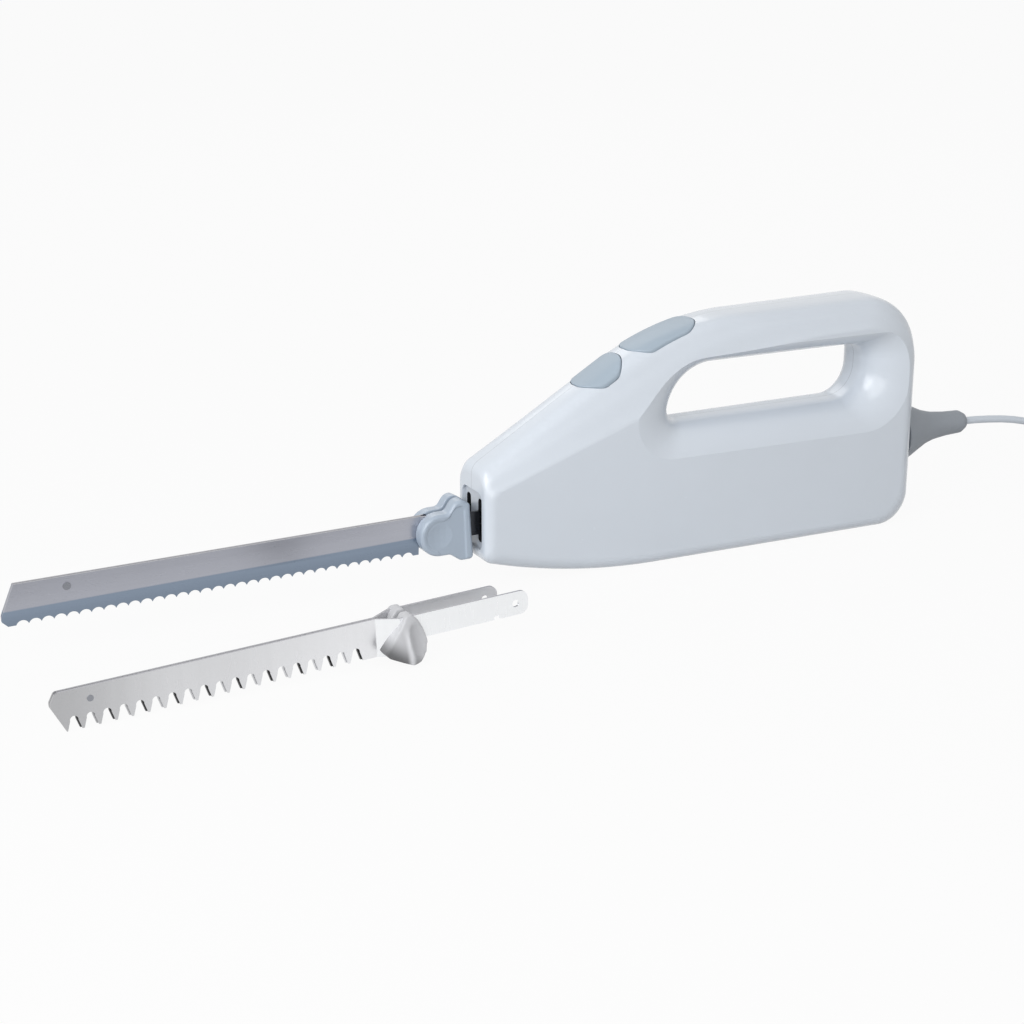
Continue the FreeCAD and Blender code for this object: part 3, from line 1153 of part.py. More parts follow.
def spare_blade(side):
    """Deep-toothed blade in the pair's own frame."""
    maker = Maker()
    high, over = S.spare_height, S.cut_over
    end = S.spare_end if side < 0 else S.spare_end - S.spare_tang_cut
    blade_strip(maker, side, NOUGHT, S.spare_bend_start, S.spare_bend_end, end, NOUGHT, high)
    side_pocket(maker, ((S.spare_step_x, -over), (end + over, -over), (end + over, S.spare_tang_low),
                        (S.spare_step_x, S.spare_tang_low)))
    side_pocket(maker, ((-over, -over), (S.spare_tip_foot, -over), (S.spare_tip_foot, NOUGHT),
                        (NOUGHT, S.spare_tip_low), (-over, S.spare_tip_low)))
    side_pocket(maker, ((-over, high - S.spare_tip_drop), (NOUGHT, high - S.spare_tip_drop),
                        (S.spare_tip_top_x, high), (S.spare_tip_top_x, high + over), (-over, high + over)))
    maker.fillet(S.spare_tip_round, lambda edge: any(corner_near(x, z)(edge) for x, z in (
        (NOUGHT, S.spare_tip_low), (NOUGHT, high - S.spare_tip_drop), (S.spare_tip_top_x, high))))
    maker.fillet(S.tang_round, lambda edge: any(corner_near(end, z)(edge) for z in (S.spare_tang_low, high)))
    x = S.spare_tooth_start if side < 0 else S.spare_tooth_start - S.spare_tooth_lag
    half = S.spare_tooth_half
    arch = S.spare_tooth_depth - S.spare_tooth_radius
    round_cut = side_hole(maker, x, arch, S.spare_tooth_radius)
    shoulder = S.spare_tooth_radius - S.spare_shoulder_gap
    flank = side_pocket(maker, ((x - half, -S.blade_thickness), (x + half, -S.blade_thickness),
                                (x + shoulder, arch), (x - shoulder, arch)))
    maker.row([round_cut, flank], "X_Axis", S.spare_tooth_pitch, S.spare_tooth_count)
    side_hole(maker, end - S.spare_hole_inset, S.spare_hole_z, S.pin_hole_radius)
    notch = end - S.spare_notch_inset
    side_pocket(maker, ((notch, S.spare_tang_low - over), (notch + S.notch_width, S.spare_tang_low - over),
                        (notch + S.notch_width, S.spare_tang_low + S.notch_depth),
                        (notch, S.spare_tang_low + S.notch_depth)))
    slide_slot(maker, side, S.spare_rivet_x, S.spare_rivet_z, S.spare_slide, S.spare_rivet_radius)
    return maker.body


def spare_knob(side, blade):
    """Teardrop finger guard, its point up."""
    maker = Maker()
    corners = ((S.knob_left_x, S.knob_left_z, S.knob_left_radius),
               (S.knob_low_x, S.knob_low, S.knob_low_radius),
               (S.knob_low_x + S.knob_flat, S.knob_low, S.knob_low_radius),
               (S.knob_right_x, S.knob_right_z, S.knob_right_radius),
               (S.knob_top_x + S.knob_top_flat, S.knob_top, S.knob_top_radius),
               (S.knob_top_x, S.knob_top, S.knob_top_radius))
    inner = S.guard_inner_y if side < 0 else -S.knob_outer_y
    drawing = maker.outline("XZ_Plane", [(x, z) for x, z, _ in corners], inner)
    maker.pad(drawing, S.knob_outer_y - S.guard_inner_y)
    for x, z, radius in corners:
        maker.fillet(radius, corner_near(x, z))
    maker.fillet(S.knob_rim, lies_at("y", side * S.knob_outer_y))
    return cut(maker.body, blade)


def make_spare_pair():
    """Both spare blades, the right one with a shorter tang, and the rivet that joins them."""
    for name, side in (("left", -1), ("right", 1)):
        blade = spare_blade(side)
        knob = spare_knob(side, blade)
        node(f"spare_guard_{name}", lay_down(knob))
        node(f"spare_blade_{name}", lay_down(group(blade)))
    rivet = rivet_shape(S.spare_rivet_x, S.spare_rivet_z, S.spare_rivet_radius)
    node("spare_rivet", lay_down(rivet))


# Cord: boot, clamp, lead, coil, tail, tie and plug.

def smooth_run(points):
    """Wire of straight runs joined by tangent arcs."""
    edges, start = [], points[0]
    radii = []
    for before, here, after in zip(points, points[1:], points[2:]):
        back, ahead = before - here, after - here
        half = (math.pi - back.getAngle(ahead)) / 2
        setback = 0.45 * min(back.Length, ahead.Length)
        radii.append(setback / math.tan(half))
        first = here + back.normalize() * setback
        last = here + ahead.normalize() * setback
        centre = here + (back + ahead).normalize() * math.hypot(setback, radii[-1])
        middle = centre + (here - centre).normalize() * radii[-1]
        edges.append(Part.LineSegment(start, first).toShape())
        edges.append(Part.Arc(first, middle, last).toShape())
        start = last
    edges.append(Part.LineSegment(start, points[-1]).toShape())
    print("cord bend radii", [round(radius, 1) for radius in radii])
    return Part.Wire(edges)


def tube(wire, radius):
    """Round solid swept along a wire."""
    start = wire.OrderedEdges[0]
    point = start.valueAt(start.FirstParameter)
    tangent = start.tangentAt(start.FirstParameter)
    ring = Part.Wire([Part.makeCircle(radius, point, tangent)])
    solid = wire.makePipeShell([ring], True, False)
    share = solid.Volume / (math.pi * radius ** 2 * wire.Length)
    print(f"cord length {wire.Length:.1f} mm, volume share {share:.4f}")
    return solid


def biarc(first, along, last, ahead):
    """Two tangent arcs between points with given unit directions."""
    span = last - first
    turn = along + ahead
    spread = 2 * (1 - along.dot(ahead))
    reach = span.dot(turn)
    square = span.dot(span)
    if abs(spread) < 1e-9:
        setback = square / (4 * span.dot(ahead))
    else:
        setback = (-reach + math.sqrt(reach * reach + spread * square)) / spread
    knot_one = first + along * setback
    knot_two = last - ahead * setback
    joint = (knot_one + knot_two) * 0.5
    return [arc_from(first, along, joint), arc_from(joint, (knot_two - knot_one).normalize(), last)]


def arc_from(start, along, end):
    """Arc that leaves a point along a direction and ends at another point."""
    chord = end - start
    half = chord.getAngle(along)
    middle = start + chord * 0.5
    side = chord * along.dot(chord) / chord.dot(chord) - along
    bulge = -chord.Length / 2 * math.tan(half / 2)
    return Part.Arc(start, middle + side.normalize() * bulge, end).toShape()


def coil_point(turns):
    """Place of the wound cord after some turns: spirals in and out, a layer lower each time."""
    per_layer = float(S.coil_turns_per_layer)
    pitch = float(S.coil_pitch)
    layers = int(float(S.coil_layers))
    inner = float(S.coil_inner_radius)
    layer = min(int(turns / per_layer), layers - 1)
    within = turns - layer * per_layer
    radius = inner + pitch * (per_layer - within if layer % 2 == 0 else within)
    drop = sum(min(max((turns - per_layer * change) * 2 + 0.5, 0.0), 1.0)
               for change in range(1, layers))
    top = float(S.coil_low_z) + pitch * (layers - 1)
    angle = math.pi / 2 - 2 * math.pi * turns
    outer = inner + pitch * per_layer
    return Vector(float(S.coil_x) + radius * math.cos(angle), -outer + radius * math.sin(angle),
                  top - pitch * drop)


COIL_TURNS = float(S.coil_turns_per_layer) * float(S.coil_layers) + 0.5


def coil_wire():
    """Whole coil: a straight end, quarter turns as biarcs, a straight end."""
    count = int(COIL_TURNS * 4)
    spots = [coil_point(index / 4) for index in range(count + 1)]
    ways = [Vector(1, 0, 0)]
    for before, after in zip(spots, spots[2:]):
        ways.append((after - before).normalize())
    ways.append(Vector(-1, 0, 0))
    straight = float(S.coil_straight)
    edges = [Part.LineSegment(spots[0] - ways[0] * straight, spots[0]).toShape()]
    for index in range(count):
        edges += biarc(spots[index], ways[index], spots[index + 1], ways[index + 1])
    edges.append(Part.LineSegment(spots[-1], spots[-1] + ways[-1] * straight).toShape())
    return Part.Wire(edges)


def least_gap(wire, radius):
    """Least clear distance between stretches of a wound tube more than a quarter turn apart."""
    points = wire.discretize(Distance=1.0)
    step = wire.Length / (len(points) - 1)
    apart = int(math.pi * float(S.coil_inner_radius) / 2 / step)
    least = min((points[i] - points[j]).Length
                for i in range(0, len(points), 2) for j in range(i + apart, len(points)))
    return least - 2 * radius


def make_boot():
    """Tapered strain relief with a flange behind the rear wall."""
    maker = Maker()
    wall_in = S.rear_x - S.wall - S.press_gap
    taper = ((S.boot_thin_x, S.boot_thin_radius), (S.boot_slim_x, S.boot_slim_radius),
             (S.boot_waist_x, S.boot_waist_radius), (S.boot_flare_x, S.boot_flare_radius))
    profile = ((wall_in - S.boot_flange, S.cord_radius + S.boot_gap),
               (S.boot_end_x, S.cord_radius + S.boot_gap), (S.boot_end_x, S.boot_end_radius),
               (S.boot_tail_x, S.boot_tail_radius), *taper, (S.rear_x + S.press_gap, S.boot_base_radius),
               (S.rear_x + S.press_gap, S.boot_neck_radius), (wall_in, S.boot_neck_radius),
               (wall_in, S.boot_flange_radius), (wall_in - S.boot_flange, S.boot_flange_radius))
    maker.turn(maker.outline("XZ_Plane", profile), "X_Axis")

    def ring_of(*radii):
        return lambda edge: isinstance(edge.Curve, Part.Circle) and any(
            abs(edge.Curve.Radius - float(radius)) < RADIUS_SLACK for radius in radii)
    maker.fillet(S.boot_curve, ring_of(*(radius for _, radius in taper)))
    maker.fillet(S.boot_tip, ring_of(S.boot_tail_radius))
    node("cord_boot", settle(maker.body, NOUGHT, NOUGHT, S.cord_z))


def make_clamp():
    """Block inside the rear that grips the cord, on a post from the floor."""
    end = S.clamp_front_x + S.clamp_length
    half = S.clamp_half
    block = box((S.clamp_front_x, -half, S.cord_z - half), (end, half, S.cord_z + half))
    post = box((S.clamp_front_x, -S.clamp_post_half, S.wall + S.press_gap / 3),
               (end, S.clamp_post_half, S.cord_z))
    bore = rod(S.cord_radius + S.boot_gap / 2, S.clamp_length * 3, S.clamp_front_x - S.clamp_length, NOUGHT,
               S.cord_z, ALONG_X)
    node("cord_clamp", cut(fuse(block, post), bore))


def lead_route():
    """Corner points of the cord from inside the boot to the coil's top layer."""
    landing = S.coil_low_z + S.coil_pitch * (S.coil_layers - 1)
    corners = ((S.cord_start_x, S.cord_z), (S.lead_straight_x, S.cord_z), (S.lead_bend_x, S.lead_bend_z),
               (S.lead_fall_x, S.lead_fall_z), (S.lead_foot_x, landing),
               (S.coil_x - S.coil_straight, landing))
    return [Vector(float(x), 0, float(z)) for x, z in corners]


def tail_route(y):
    """Corner points of the cord from the coil's bottom layer to the plug."""
    beside = y + float(S.tail_shift)
    corners = ((S.coil_x - S.coil_straight, y, S.coil_low_z), (S.tail_turn_x, y, S.coil_low_z),
               (S.tail_rise_x, beside, S.plug_z), (S.tail_end_x, beside, S.plug_z))
    return [Vector(float(x), across, float(z)) for x, across, z in corners]


def make_cord():
    """Cord in five pieces: inside the housing, to the coil, the coil, to the plug, and the plug."""
    radius = float(S.cord_radius)
    start = S.clamp_front_x
    node("cord_inlet", rod(S.cord_radius, S.cord_start_x - start, start, NOUGHT, S.cord_z, ALONG_X))
    node("cord_lead", free_shape(tube(smooth_run(lead_route()), radius)))
    wire = coil_wire()
    print(f"coil's least gap to itself {least_gap(wire, radius):.2f} mm")
    node("cord_coil", free_shape(tube(wire, radius)))
    end = wire.Vertexes[-1].Point
    node("cord_tail", free_shape(tube(smooth_run(tail_route(end.y)), radius)))
    make_tie()
    make_plug(end.y)


def make_tie():
    """Band round the bundle of the coil, on the side away from the knife."""
    outer = S.coil_inner_radius + S.coil_pitch * S.coil_turns_per_layer
    room = S.cord_radius + S.tie_gap
    spread = S.coil_pitch / 2
    near = S.coil_x + S.coil_inner_radius - spread - room
    far = S.coil_x + outer + spread + room
    low = S.coil_low_z - room
    high = S.coil_low_z + S.coil_pitch * (S.coil_layers - 1) + room
    half = S.tie_width / 2
    middle = -outer
    thick = S.tie_thickness
    band = box((near - thick, middle - half, low - thick), (far + thick, middle + half, high + thick))
    hole = box((near, middle - half - S.cut_over, low), (far, middle + half + S.cut_over, high))
    node("cord_tie", cut(band, hole))


def make_plug(beside):
    """Two-pin plug that lies beside the coil, pins towards -X."""
    x, y = S.tail_end_x, Size(beside, str(beside)) + S.tail_shift
    maker = Maker()
    wide, slim, length = S.plug_half_width, S.plug_nose_half, S.plug_length
    shoulder = S.plug_shoulder
    points = ((NOUGHT, -slim / 2), (NOUGHT, slim / 2), (-shoulder, wide), (-length, wide),
              (-length, -wide), (-shoulder, -wide))
    maker.pad(maker.outline("XY_Plane", points, -S.plug_half_height), S.plug_half_height * 2)
    maker.fillet(S.plug_round, runs_along(Vector(0, 0, 1)))
    maker.fillet(S.plug_round / 2, lambda edge: lies_at("z", S.plug_half_height)(edge)
                 or lies_at("z", -S.plug_half_height)(edge))
    settle(maker.body, x, y, S.plug_z)
    pins = []
    holes = []
    for side in (-1, 1):
        place = y + side * S.pin_spacing / 2
        face = x - length
        pin = rod(S.plug_pin_radius, S.plug_pin_length, face - S.plug_pin_length, place, S.plug_z, ALONG_X)
        depth = S.plug_pin_sink + S.cut_over
        root = rod(S.plug_pin_root, depth, face - S.cut_over, place, S.plug_z, ALONG_X)
        pins.append(fuse(pin, root))
        holes.append(rod(S.plug_pin_root, depth, face - S.cut_over, place, S.plug_z, ALONG_X))
    node("plug_body", cut(maker.body, *holes))
    node("plug_pins", group(*pins))


make_housing()
make_nose_plate()
make_buttons()
make_worm()
make_wheel()
make_drive_bars()
make_gear_frame()
make_bearings()
make_stator()
make_rotor()
make_motor_mounts()
make_fitted_blades()
make_spare_pair()
make_boot()
make_clamp()
make_cord()
document.recompute()

os.makedirs("parts", exist_ok=True)
faults = [f"{thing.Name} ({thing.Label}): {thing.getStatusString()}" for thing in document.Objects
          if "Invalid" in thing.State or "Error" in thing.State]
faults += [f"{thing.Label}: no valid shape" for thing in nodes
           if thing.Shape.isNull() or not thing.Shape.isValid()]
if faults:
    raise RuntimeError("\n".join(faults))
for thing in nodes:
    thing.Shape.exportStep(f"parts/{thing.Label}.step")
print(len(nodes), "sub-parts")
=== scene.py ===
import logging
import math
from dataclasses import dataclass
from enum import Enum
from functools import cache
from typing import Callable, Optional, Sequence, Union

import bpy
from mathutils import Matrix, Vector


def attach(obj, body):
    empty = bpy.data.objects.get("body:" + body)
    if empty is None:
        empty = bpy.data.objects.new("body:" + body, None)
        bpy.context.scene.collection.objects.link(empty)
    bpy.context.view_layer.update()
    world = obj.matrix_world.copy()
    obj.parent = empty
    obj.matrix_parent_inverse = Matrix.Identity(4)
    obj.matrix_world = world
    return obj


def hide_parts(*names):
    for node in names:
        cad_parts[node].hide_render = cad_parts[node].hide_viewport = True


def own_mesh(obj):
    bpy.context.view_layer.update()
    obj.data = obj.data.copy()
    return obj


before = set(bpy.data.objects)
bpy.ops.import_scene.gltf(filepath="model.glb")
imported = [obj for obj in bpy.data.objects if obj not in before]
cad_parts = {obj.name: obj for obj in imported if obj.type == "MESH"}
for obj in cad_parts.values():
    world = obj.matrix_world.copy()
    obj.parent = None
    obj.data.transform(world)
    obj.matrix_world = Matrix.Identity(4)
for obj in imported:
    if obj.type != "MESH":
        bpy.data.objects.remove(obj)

# Looks of the electric carving knife: housing, pads, blades, spare blades, cord and the drive inside.
# Metres, in the part's own frame: X along the knife with the blades towards -X, Z up, floor at Z = 0.

log = logging.getLogger("carving_knife")

Colour = tuple[float, float, float]
Point = tuple[float, float, float]
Operand = Union["Value", float, tuple]
Test = Callable[[Vector, Vector], bool]

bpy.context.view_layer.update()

WHITE: Colour = (1.0, 1.0, 1.0)
EVEN: Point = (1.0, 1.0, 1.0)
LENGTHWAYS: Point = (1.0, 0.0, 0.0)
UPWARDS: Point = (0.0, 0.0, 1.0)

# Settings that every noise and every row of bands shares, and the numbers of a colour Mix node's sockets.
NOISE_ROUGHNESS = 0.55
NOISE_MIDDLE = 0.5
BAND_TURN = math.pi / 10.0
BAND_DETAIL = 2.0
MIX_SHARE, MIX_FIRST, MIX_SECOND, MIX_RESULT = 0, 6, 7, 2


class Way(Enum):
    """Direction that a finish's fine lines run in."""

    LENGTH = (0.02, 1.0, 1.0)
    WIDTH = (1.0, 0.02, 1.0)
    HEIGHT = (1.0, 1.0, 0.02)


class Detail(Enum):
    """How broken up a noise is, in octaves."""

    PLAIN = 2.0
    BROKEN = 3.0
    RAGGED = 4.0


class Value:
    """Socket of a shader tree that takes part in Python expressions."""

    def __init__(self, shader: "Shader", socket: bpy.types.NodeSocket) -> None:
        """Wrap a socket of a shader."""
        self.shader = shader
        self.socket = socket

    def _math(self, operation: str, first: Operand, second: Operand = 0.0) -> "Value":
        """Add one Math node to the shader."""
        return self.shader.node("ShaderNodeMath", {"operation": operation}, {0: first, 1: second})

    def __add__(self, other: Operand) -> "Value":
        """Sum."""
        return self._math("ADD", self, other)

    def __radd__(self, other: Operand) -> "Value":
        """Sum, the other way round."""
        return self._math("ADD", other, self)

    def __sub__(self, other: Operand) -> "Value":
        """Difference."""
        return self._math("SUBTRACT", self, other)

    def __rsub__(self, other: Operand) -> "Value":
        """Difference, the other way round."""
        return self._math("SUBTRACT", other, self)

    def __mul__(self, other: Operand) -> "Value":
        """Product."""
        return self._math("MULTIPLY", self, other)

    def __rmul__(self, other: Operand) -> "Value":
        """Product, the other way round."""
        return self._math("MULTIPLY", other, self)

    def __truediv__(self, other: Operand) -> "Value":
        """Quotient."""
        return self._math("DIVIDE", self, other)

    def __abs__(self) -> "Value":
        """Size without its sign."""
        return self._math("ABSOLUTE", self)

    def either(self, other: Operand) -> "Value":
        """Larger of two values."""
        return self._math("MAXIMUM", self, other)

    def fraction(self) -> "Value":
        """What is left above the next lower whole number."""
        return self._math("FRACT", self)

    def rise(self, low: float, high: float) -> "Value":
        """Smooth step from 0 at low to 1 at high."""
        return self.shader.node(
            "ShaderNodeMapRange", {"interpolation_type": "SMOOTHSTEP"},
            {"Value": self, "From Min": low, "From Max": high})

    def past(self, edge: float, soft: float) -> "Value":
        """Step from 0 to 1 across an edge that is a little soft."""
        return self.rise(edge - soft, edge + soft)


class Shader:
    """Node tree of one material or world, with its nodes added by one method."""

    def __init__(self, owner: Union[str, bpy.types.World]) -> None:
        """Start an empty tree.

        Args:
            owner: the name of a new material, or a world.
        """
        self.owner = bpy.data.materials.new(owner) if isinstance(owner, str) else owner
        self.owner.use_nodes = True
        self.tree = self.owner.node_tree
        self.tree.nodes.clear()

    def node(self, kind: str, settings: Optional[dict] = None, inputs: Optional[dict] = None,
             output: Union[int, str] = 0) -> Value:
        """Add a node, set it up and wire it.

        Args:
            kind: the node's type.
            settings: attributes of the node.
            inputs: values or links by the socket's name or number.
            output: the socket to give back.
        Returns:
            The wrapped output socket.
        """
        node = self.tree.nodes.new(kind)
        for key, setting in (settings or {}).items():
            setattr(node, key, setting)
        for key, given in (inputs or {}).items():
            if isinstance(given, Value):
                self.tree.links.new(given.socket, node.inputs[key])
            else:
                node.inputs[key].default_value = given
        return Value(self, node.outputs[output] if node.outputs else node.inputs[0])

    def place(self, stretch: Point = EVEN) -> Value:
        """Object coordinates, stretched along the axes."""
        spot = self.node("ShaderNodeTexCoord", output="Object")
        if stretch == EVEN:
            return spot
        return self.node("ShaderNodeMapping", {}, {"Vector": spot, "Scale": stretch})

    def axis(self, name: str) -> Value:
        """One object coordinate, by its letter."""
        return self.node("ShaderNodeSeparateXYZ", {}, {0: self.place()}, name)

    def along(self, start: Point, way: Point) -> Value:
        """Distance from a point along a direction.

        Args:
            start: the point.
            way: the direction, of length 1.
        Returns:
            The distance in metres.
        """
        offset = sum(first * second for first, second in zip(start, way))
        return self.dot(self.place(), way) - offset

    def facing(self, way: Point) -> Value:
        """How squarely the surface faces a direction, from -1 to 1."""
        return self.dot(self.node("ShaderNodeNewGeometry", output="Normal"), way)

    def dot(self, vector: Value, way: Point) -> Value:
        """Part of a vector that lies along a direction."""
        return self.node("ShaderNodeVectorMath", {"operation": "DOT_PRODUCT"}, {0: vector, 1: way}, "Value")

    def noise(self, scale: float, detail: Detail = Detail.PLAIN, stretch: Point = EVEN) -> Value:
        """Noise between 0 and 1, so many features to the metre.

        Args:
            scale: features to the metre.
            detail: how broken up it is.
            stretch: share of the scale along each axis.
        Returns:
            The noise.
        """
        return self.node("ShaderNodeTexNoise", {}, {
            "Vector": self.place(stretch), "Scale": scale, "Detail": detail.value,
            "Roughness": NOISE_ROUGHNESS})

    def stripes(self, pitch: float, axis: str, warp: float = 0.0) -> Value:
        """Fine parallel bands.

        Args:
            pitch: distance between bands in metres.
            axis: letter of the axis they follow each other along.
            warp: how much they waver.
        Returns:
            The bands between 0 and 1.
        """
        return self.node("ShaderNodeTexWave", {"wave_type": "BANDS", "bands_direction": axis}, {
            "Vector": self.place(), "Scale": BAND_TURN / pitch, "Distortion": warp,
            "Detail Scale": BAND_DETAIL}, "Fac")

    def mixed(self, share: Operand, first: Operand, second: Operand, blend: str = "MIX") -> Value:
        """Colour between two colours.

        Args:
            share: 0 for the first colour, 1 for the second.
            first: a colour or a link.
            second: a colour or a link.
            blend: how the second colour is laid over the first.
        Returns:
            The mixed colour.
        """
        colours = [given if isinstance(given, Value) else (*given, 1.0) for given in (first, second)]
        return self.node("ShaderNodeMix", {"data_type": "RGBA", "blend_type": blend}, {
            MIX_SHARE: share, MIX_FIRST: colours[0], MIX_SECOND: colours[1]}, MIX_RESULT)

    def seen(self) -> Value:
        """1 for rays of the camera and of mirror and glass, else 0."""
        rays = [self.node("ShaderNodeLightPath", output=f"Is {kind} Ray")
                for kind in ("Camera", "Glossy", "Transmission")]
        return rays[0].either(rays[1]).either(rays[2])

    def bump(self, height: Value, depth: float) -> Value:
        """Normal with a relief of some depth in metres."""
        return self.node("ShaderNodeBump", {}, {"Height": height, "Distance": depth, "Strength": 1.0})

    def close(self, **sockets: Operand) -> bpy.types.Material:
        """Finish the material with a principled surface.

        Args:
            sockets: the surface's sockets, with _ for a space.
        Returns:
            The material.
        """
        inputs = {key.replace("_", " "): given for key, given in sockets.items()}
        surface = self.node("ShaderNodeBsdfPrincipled", {}, inputs)
        self.node("ShaderNodeOutputMaterial", {}, {"Surface": surface})
        return self.owner


def tinted(colour: Colour, share: float) -> Colour:
    """Colour made lighter or darker by a share."""
    return tuple(min(part * share, 1.0) for part in colour)


@dataclass(frozen=True)
class TiltedFrame:
    """Place and axes of a piece that lies turned and tilted."""

    start: Point
    length: Point
    width: Point
    height: Point

    def at(self, length: float, width: float, height: float) -> Point:
        """Place of a point given along the piece's own axes."""
        return tuple(start + length * one + width * two + height * three for start, one, two, three
                     in zip(self.start, self.length, self.width, self.height))

    def matrix(self) -> Matrix:
        """Matrix that takes a piece built along its own axes to its place."""
        columns = (self.length, self.width, self.height, self.start)
        return Matrix([*map(list, zip(*columns)), [0.0, 0.0, 0.0, 1.0]])


SPARE_FRAME = TiltedFrame((-0.3737, -0.0839, -0.000219), (0.998743, 0.031387, 0.039069),
                          (-0.031411, 0.999507, 0.0), (-0.03905, -0.001227, 0.999237))


@dataclass(frozen=True)
class MouldedPlastic:
    """Injection-moulded plastic: faint cloudiness, a fine spark-eroded grain and a few rubs."""

    name: str
    colour: Colour
    roughness: float = 0.3
    grain: float = 2600.0
    grain_depth: float = 0.000012
    coat: float = 0.0
    coat_roughness: float = 0.06
    cloud_scale: float = 28.0
    cloud_share: float = 0.02
    rub_scale: float = 140.0
    rub_reach: tuple = (0.5, 0.8)
    rub_share: float = 0.05
    speck_share: float = 0.05

    def shade(self, shader: Shader, colour: Operand) -> bpy.types.Material:
        """Put grain and rubs over a colour.

        Args:
            shader: the material begun.
            colour: the plastic's colour or a link to one.
        Returns:
            The material.
        """
        speck = shader.noise(self.grain)
        rub = shader.noise(self.rub_scale, Detail.RAGGED).rise(*self.rub_reach)
        rough = self.roughness + self.rub_share * rub + self.speck_share * speck
        return shader.close(Base_Color=colour, Roughness=rough, Coat_Weight=self.coat,
                            Coat_Roughness=self.coat_roughness,
                            Normal=shader.bump(speck, self.grain_depth))

    def cloudy(self, shader: Shader) -> Value:
        """The plastic's colour, a little lighter and darker over wide patches."""
        cloud = shader.noise(self.cloud_scale, Detail.BROKEN)
        return shader.mixed(cloud, tinted(self.colour, 1 - self.cloud_share),
                            tinted(self.colour, 1 + self.cloud_share))

    def make(self) -> bpy.types.Material:
        """Build the material."""
        shader = Shader(self.name)
        return self.shade(shader, self.cloudy(shader))


@dataclass(frozen=True)
class SeamedPlastic(MouldedPlastic):
    """Plastic of a shell, with the fine shadow of the joint to its other half."""

    seam_y: float = 0.0004
    seam_edge: tuple = (0.00008, 0.00016)
    seam_share: float = 0.6

    def make(self) -> bpy.types.Material:
        """Build the material."""
        shader = Shader(self.name)
        away = abs(shader.axis("Y") - self.seam_y)
        seam = 1 - away.rise(*self.seam_edge)
        shadow = tinted(self.colour, self.seam_share)
        return self.shade(shader, shader.mixed(seam, self.cloudy(shader), shadow))


@dataclass(frozen=True)
class SlottedPlastic(MouldedPlastic):
    """Plastic of the front plate, with painted shade on the walls of its slots."""

    # Painted shade: the near-black colour of the walls that face across the knife.
    slot_shade_colour: Colour = (0.02, 0.021, 0.024)
    shaded_wall_facing: tuple = (0.3, 0.5)

    def make(self) -> bpy.types.Material:
        """Build the material."""
        shader = Shader(self.name)
        # Painted shade on every wall that doesn't face along the knife.
        shaded_wall = 1 - abs(shader.facing(LENGTHWAYS)).rise(*self.shaded_wall_facing)
        return self.shade(shader, shader.mixed(shaded_wall, self.cloudy(shader), self.slot_shade_colour))


@dataclass(frozen=True)
class KnobPlastic(MouldedPlastic):
    """Plastic of the spare blades' knobs, with painted shade along the lower edge and a painted highlight
    on the ridge.
    """

    # Painted shade darkens the colour towards the lower edge; a painted highlight lightens a streak along
    # the ridge.
    painted_shade_share: float = 0.22
    painted_shade_start: Point = (0.1446, 0.0, 0.0032)
    painted_shade_way: Point = (0.635, 0.0, 0.7725)
    painted_shade_edge: tuple = (0.0008, 0.0092)
    painted_highlight_share: float = 1.5
    painted_highlight_start: Point = (0.1554, 0.0, 0.0088)
    painted_highlight_way: Point = (0.983, 0.0, 0.1836)
    painted_highlight_top: tuple = (0.007, 0.016)
    painted_highlight_half: float = 0.0026

    def make(self) -> bpy.types.Material:
        """Build the material."""
        shader = Shader(self.name)
        # Painted shade towards the lower edge, then a painted highlight in a streak along the ridge, fading
        # out towards its top.
        height = shader.along(SPARE_FRAME.at(*self.painted_shade_start), self.painted_shade_way)
        low = 1 - height.rise(*self.painted_shade_edge)
        painted_shade_colour = shader.mixed(low, self.cloudy(shader), tinted(self.colour, self.painted_shade_share))
        away = abs(shader.along(SPARE_FRAME.at(*self.painted_highlight_start), self.painted_highlight_way))
        up = shader.along(SPARE_FRAME.start, SPARE_FRAME.height)
        ridge = (1 - away.rise(0.0, self.painted_highlight_half)) * (1 - up.rise(*self.painted_highlight_top))
        return self.shade(shader, shader.mixed(ridge, painted_shade_colour, tinted(self.colour, self.painted_highlight_share)))


@dataclass(frozen=True)
class BrushedMetal:
    """Ground or drawn metal: fine lines in one direction, with brighter and darker streaks."""

    name: str
    colour: Colour
    way: Way = Way.LENGTH
    roughness: float = 0.3
    lines: float = 4200.0
    streak_share: float = 0.08
    line_depth: float = 0.000006
    line_share: float = 0.16
    streak_scale: float = 0.09
    spine_colour: Colour = (0.3, 0.3, 0.32)
    spine_facing: tuple = (0.6, 0.8)

    def shade(self, shader: Shader, colour: Operand, bare: Operand = 1.0) -> bpy.types.Material:
        """Put lines and streaks over a colour.

        Args:
            shader: the material begun.
            colour: the metal's colour or a link to one.
            bare: how metallic it looks.
        Returns:
            The material.
        """
        line = shader.noise(self.lines, Detail.BROKEN, self.way.value)
        streak = shader.noise(self.lines * self.streak_scale, Detail.PLAIN, self.way.value)
        shadow = shader.mixed(streak, tinted(WHITE, 1 - self.streak_share), WHITE)
        rough = self.roughness + self.line_share * (line - NOISE_MIDDLE)
        return shader.close(Base_Color=shader.mixed(1.0, colour, shadow, "MULTIPLY"), Metallic=bare,
                            Roughness=rough, Normal=shader.bump(line, self.line_depth))

    def spined(self, shader: Shader, colour: Value, up: Point) -> Value:
        """Steel with a duller sawn spine.

        Args:
            shader: the material begun.
            colour: the steel's colour.
            up: the way the spine faces.
        Returns:
            The colour with its spine.
        """
        return shader.mixed(shader.facing(up).rise(*self.spine_facing), colour, self.spine_colour)

    def make(self) -> bpy.types.Material:
        """Build the material."""
        return self.shade(Shader(self.name), self.colour)


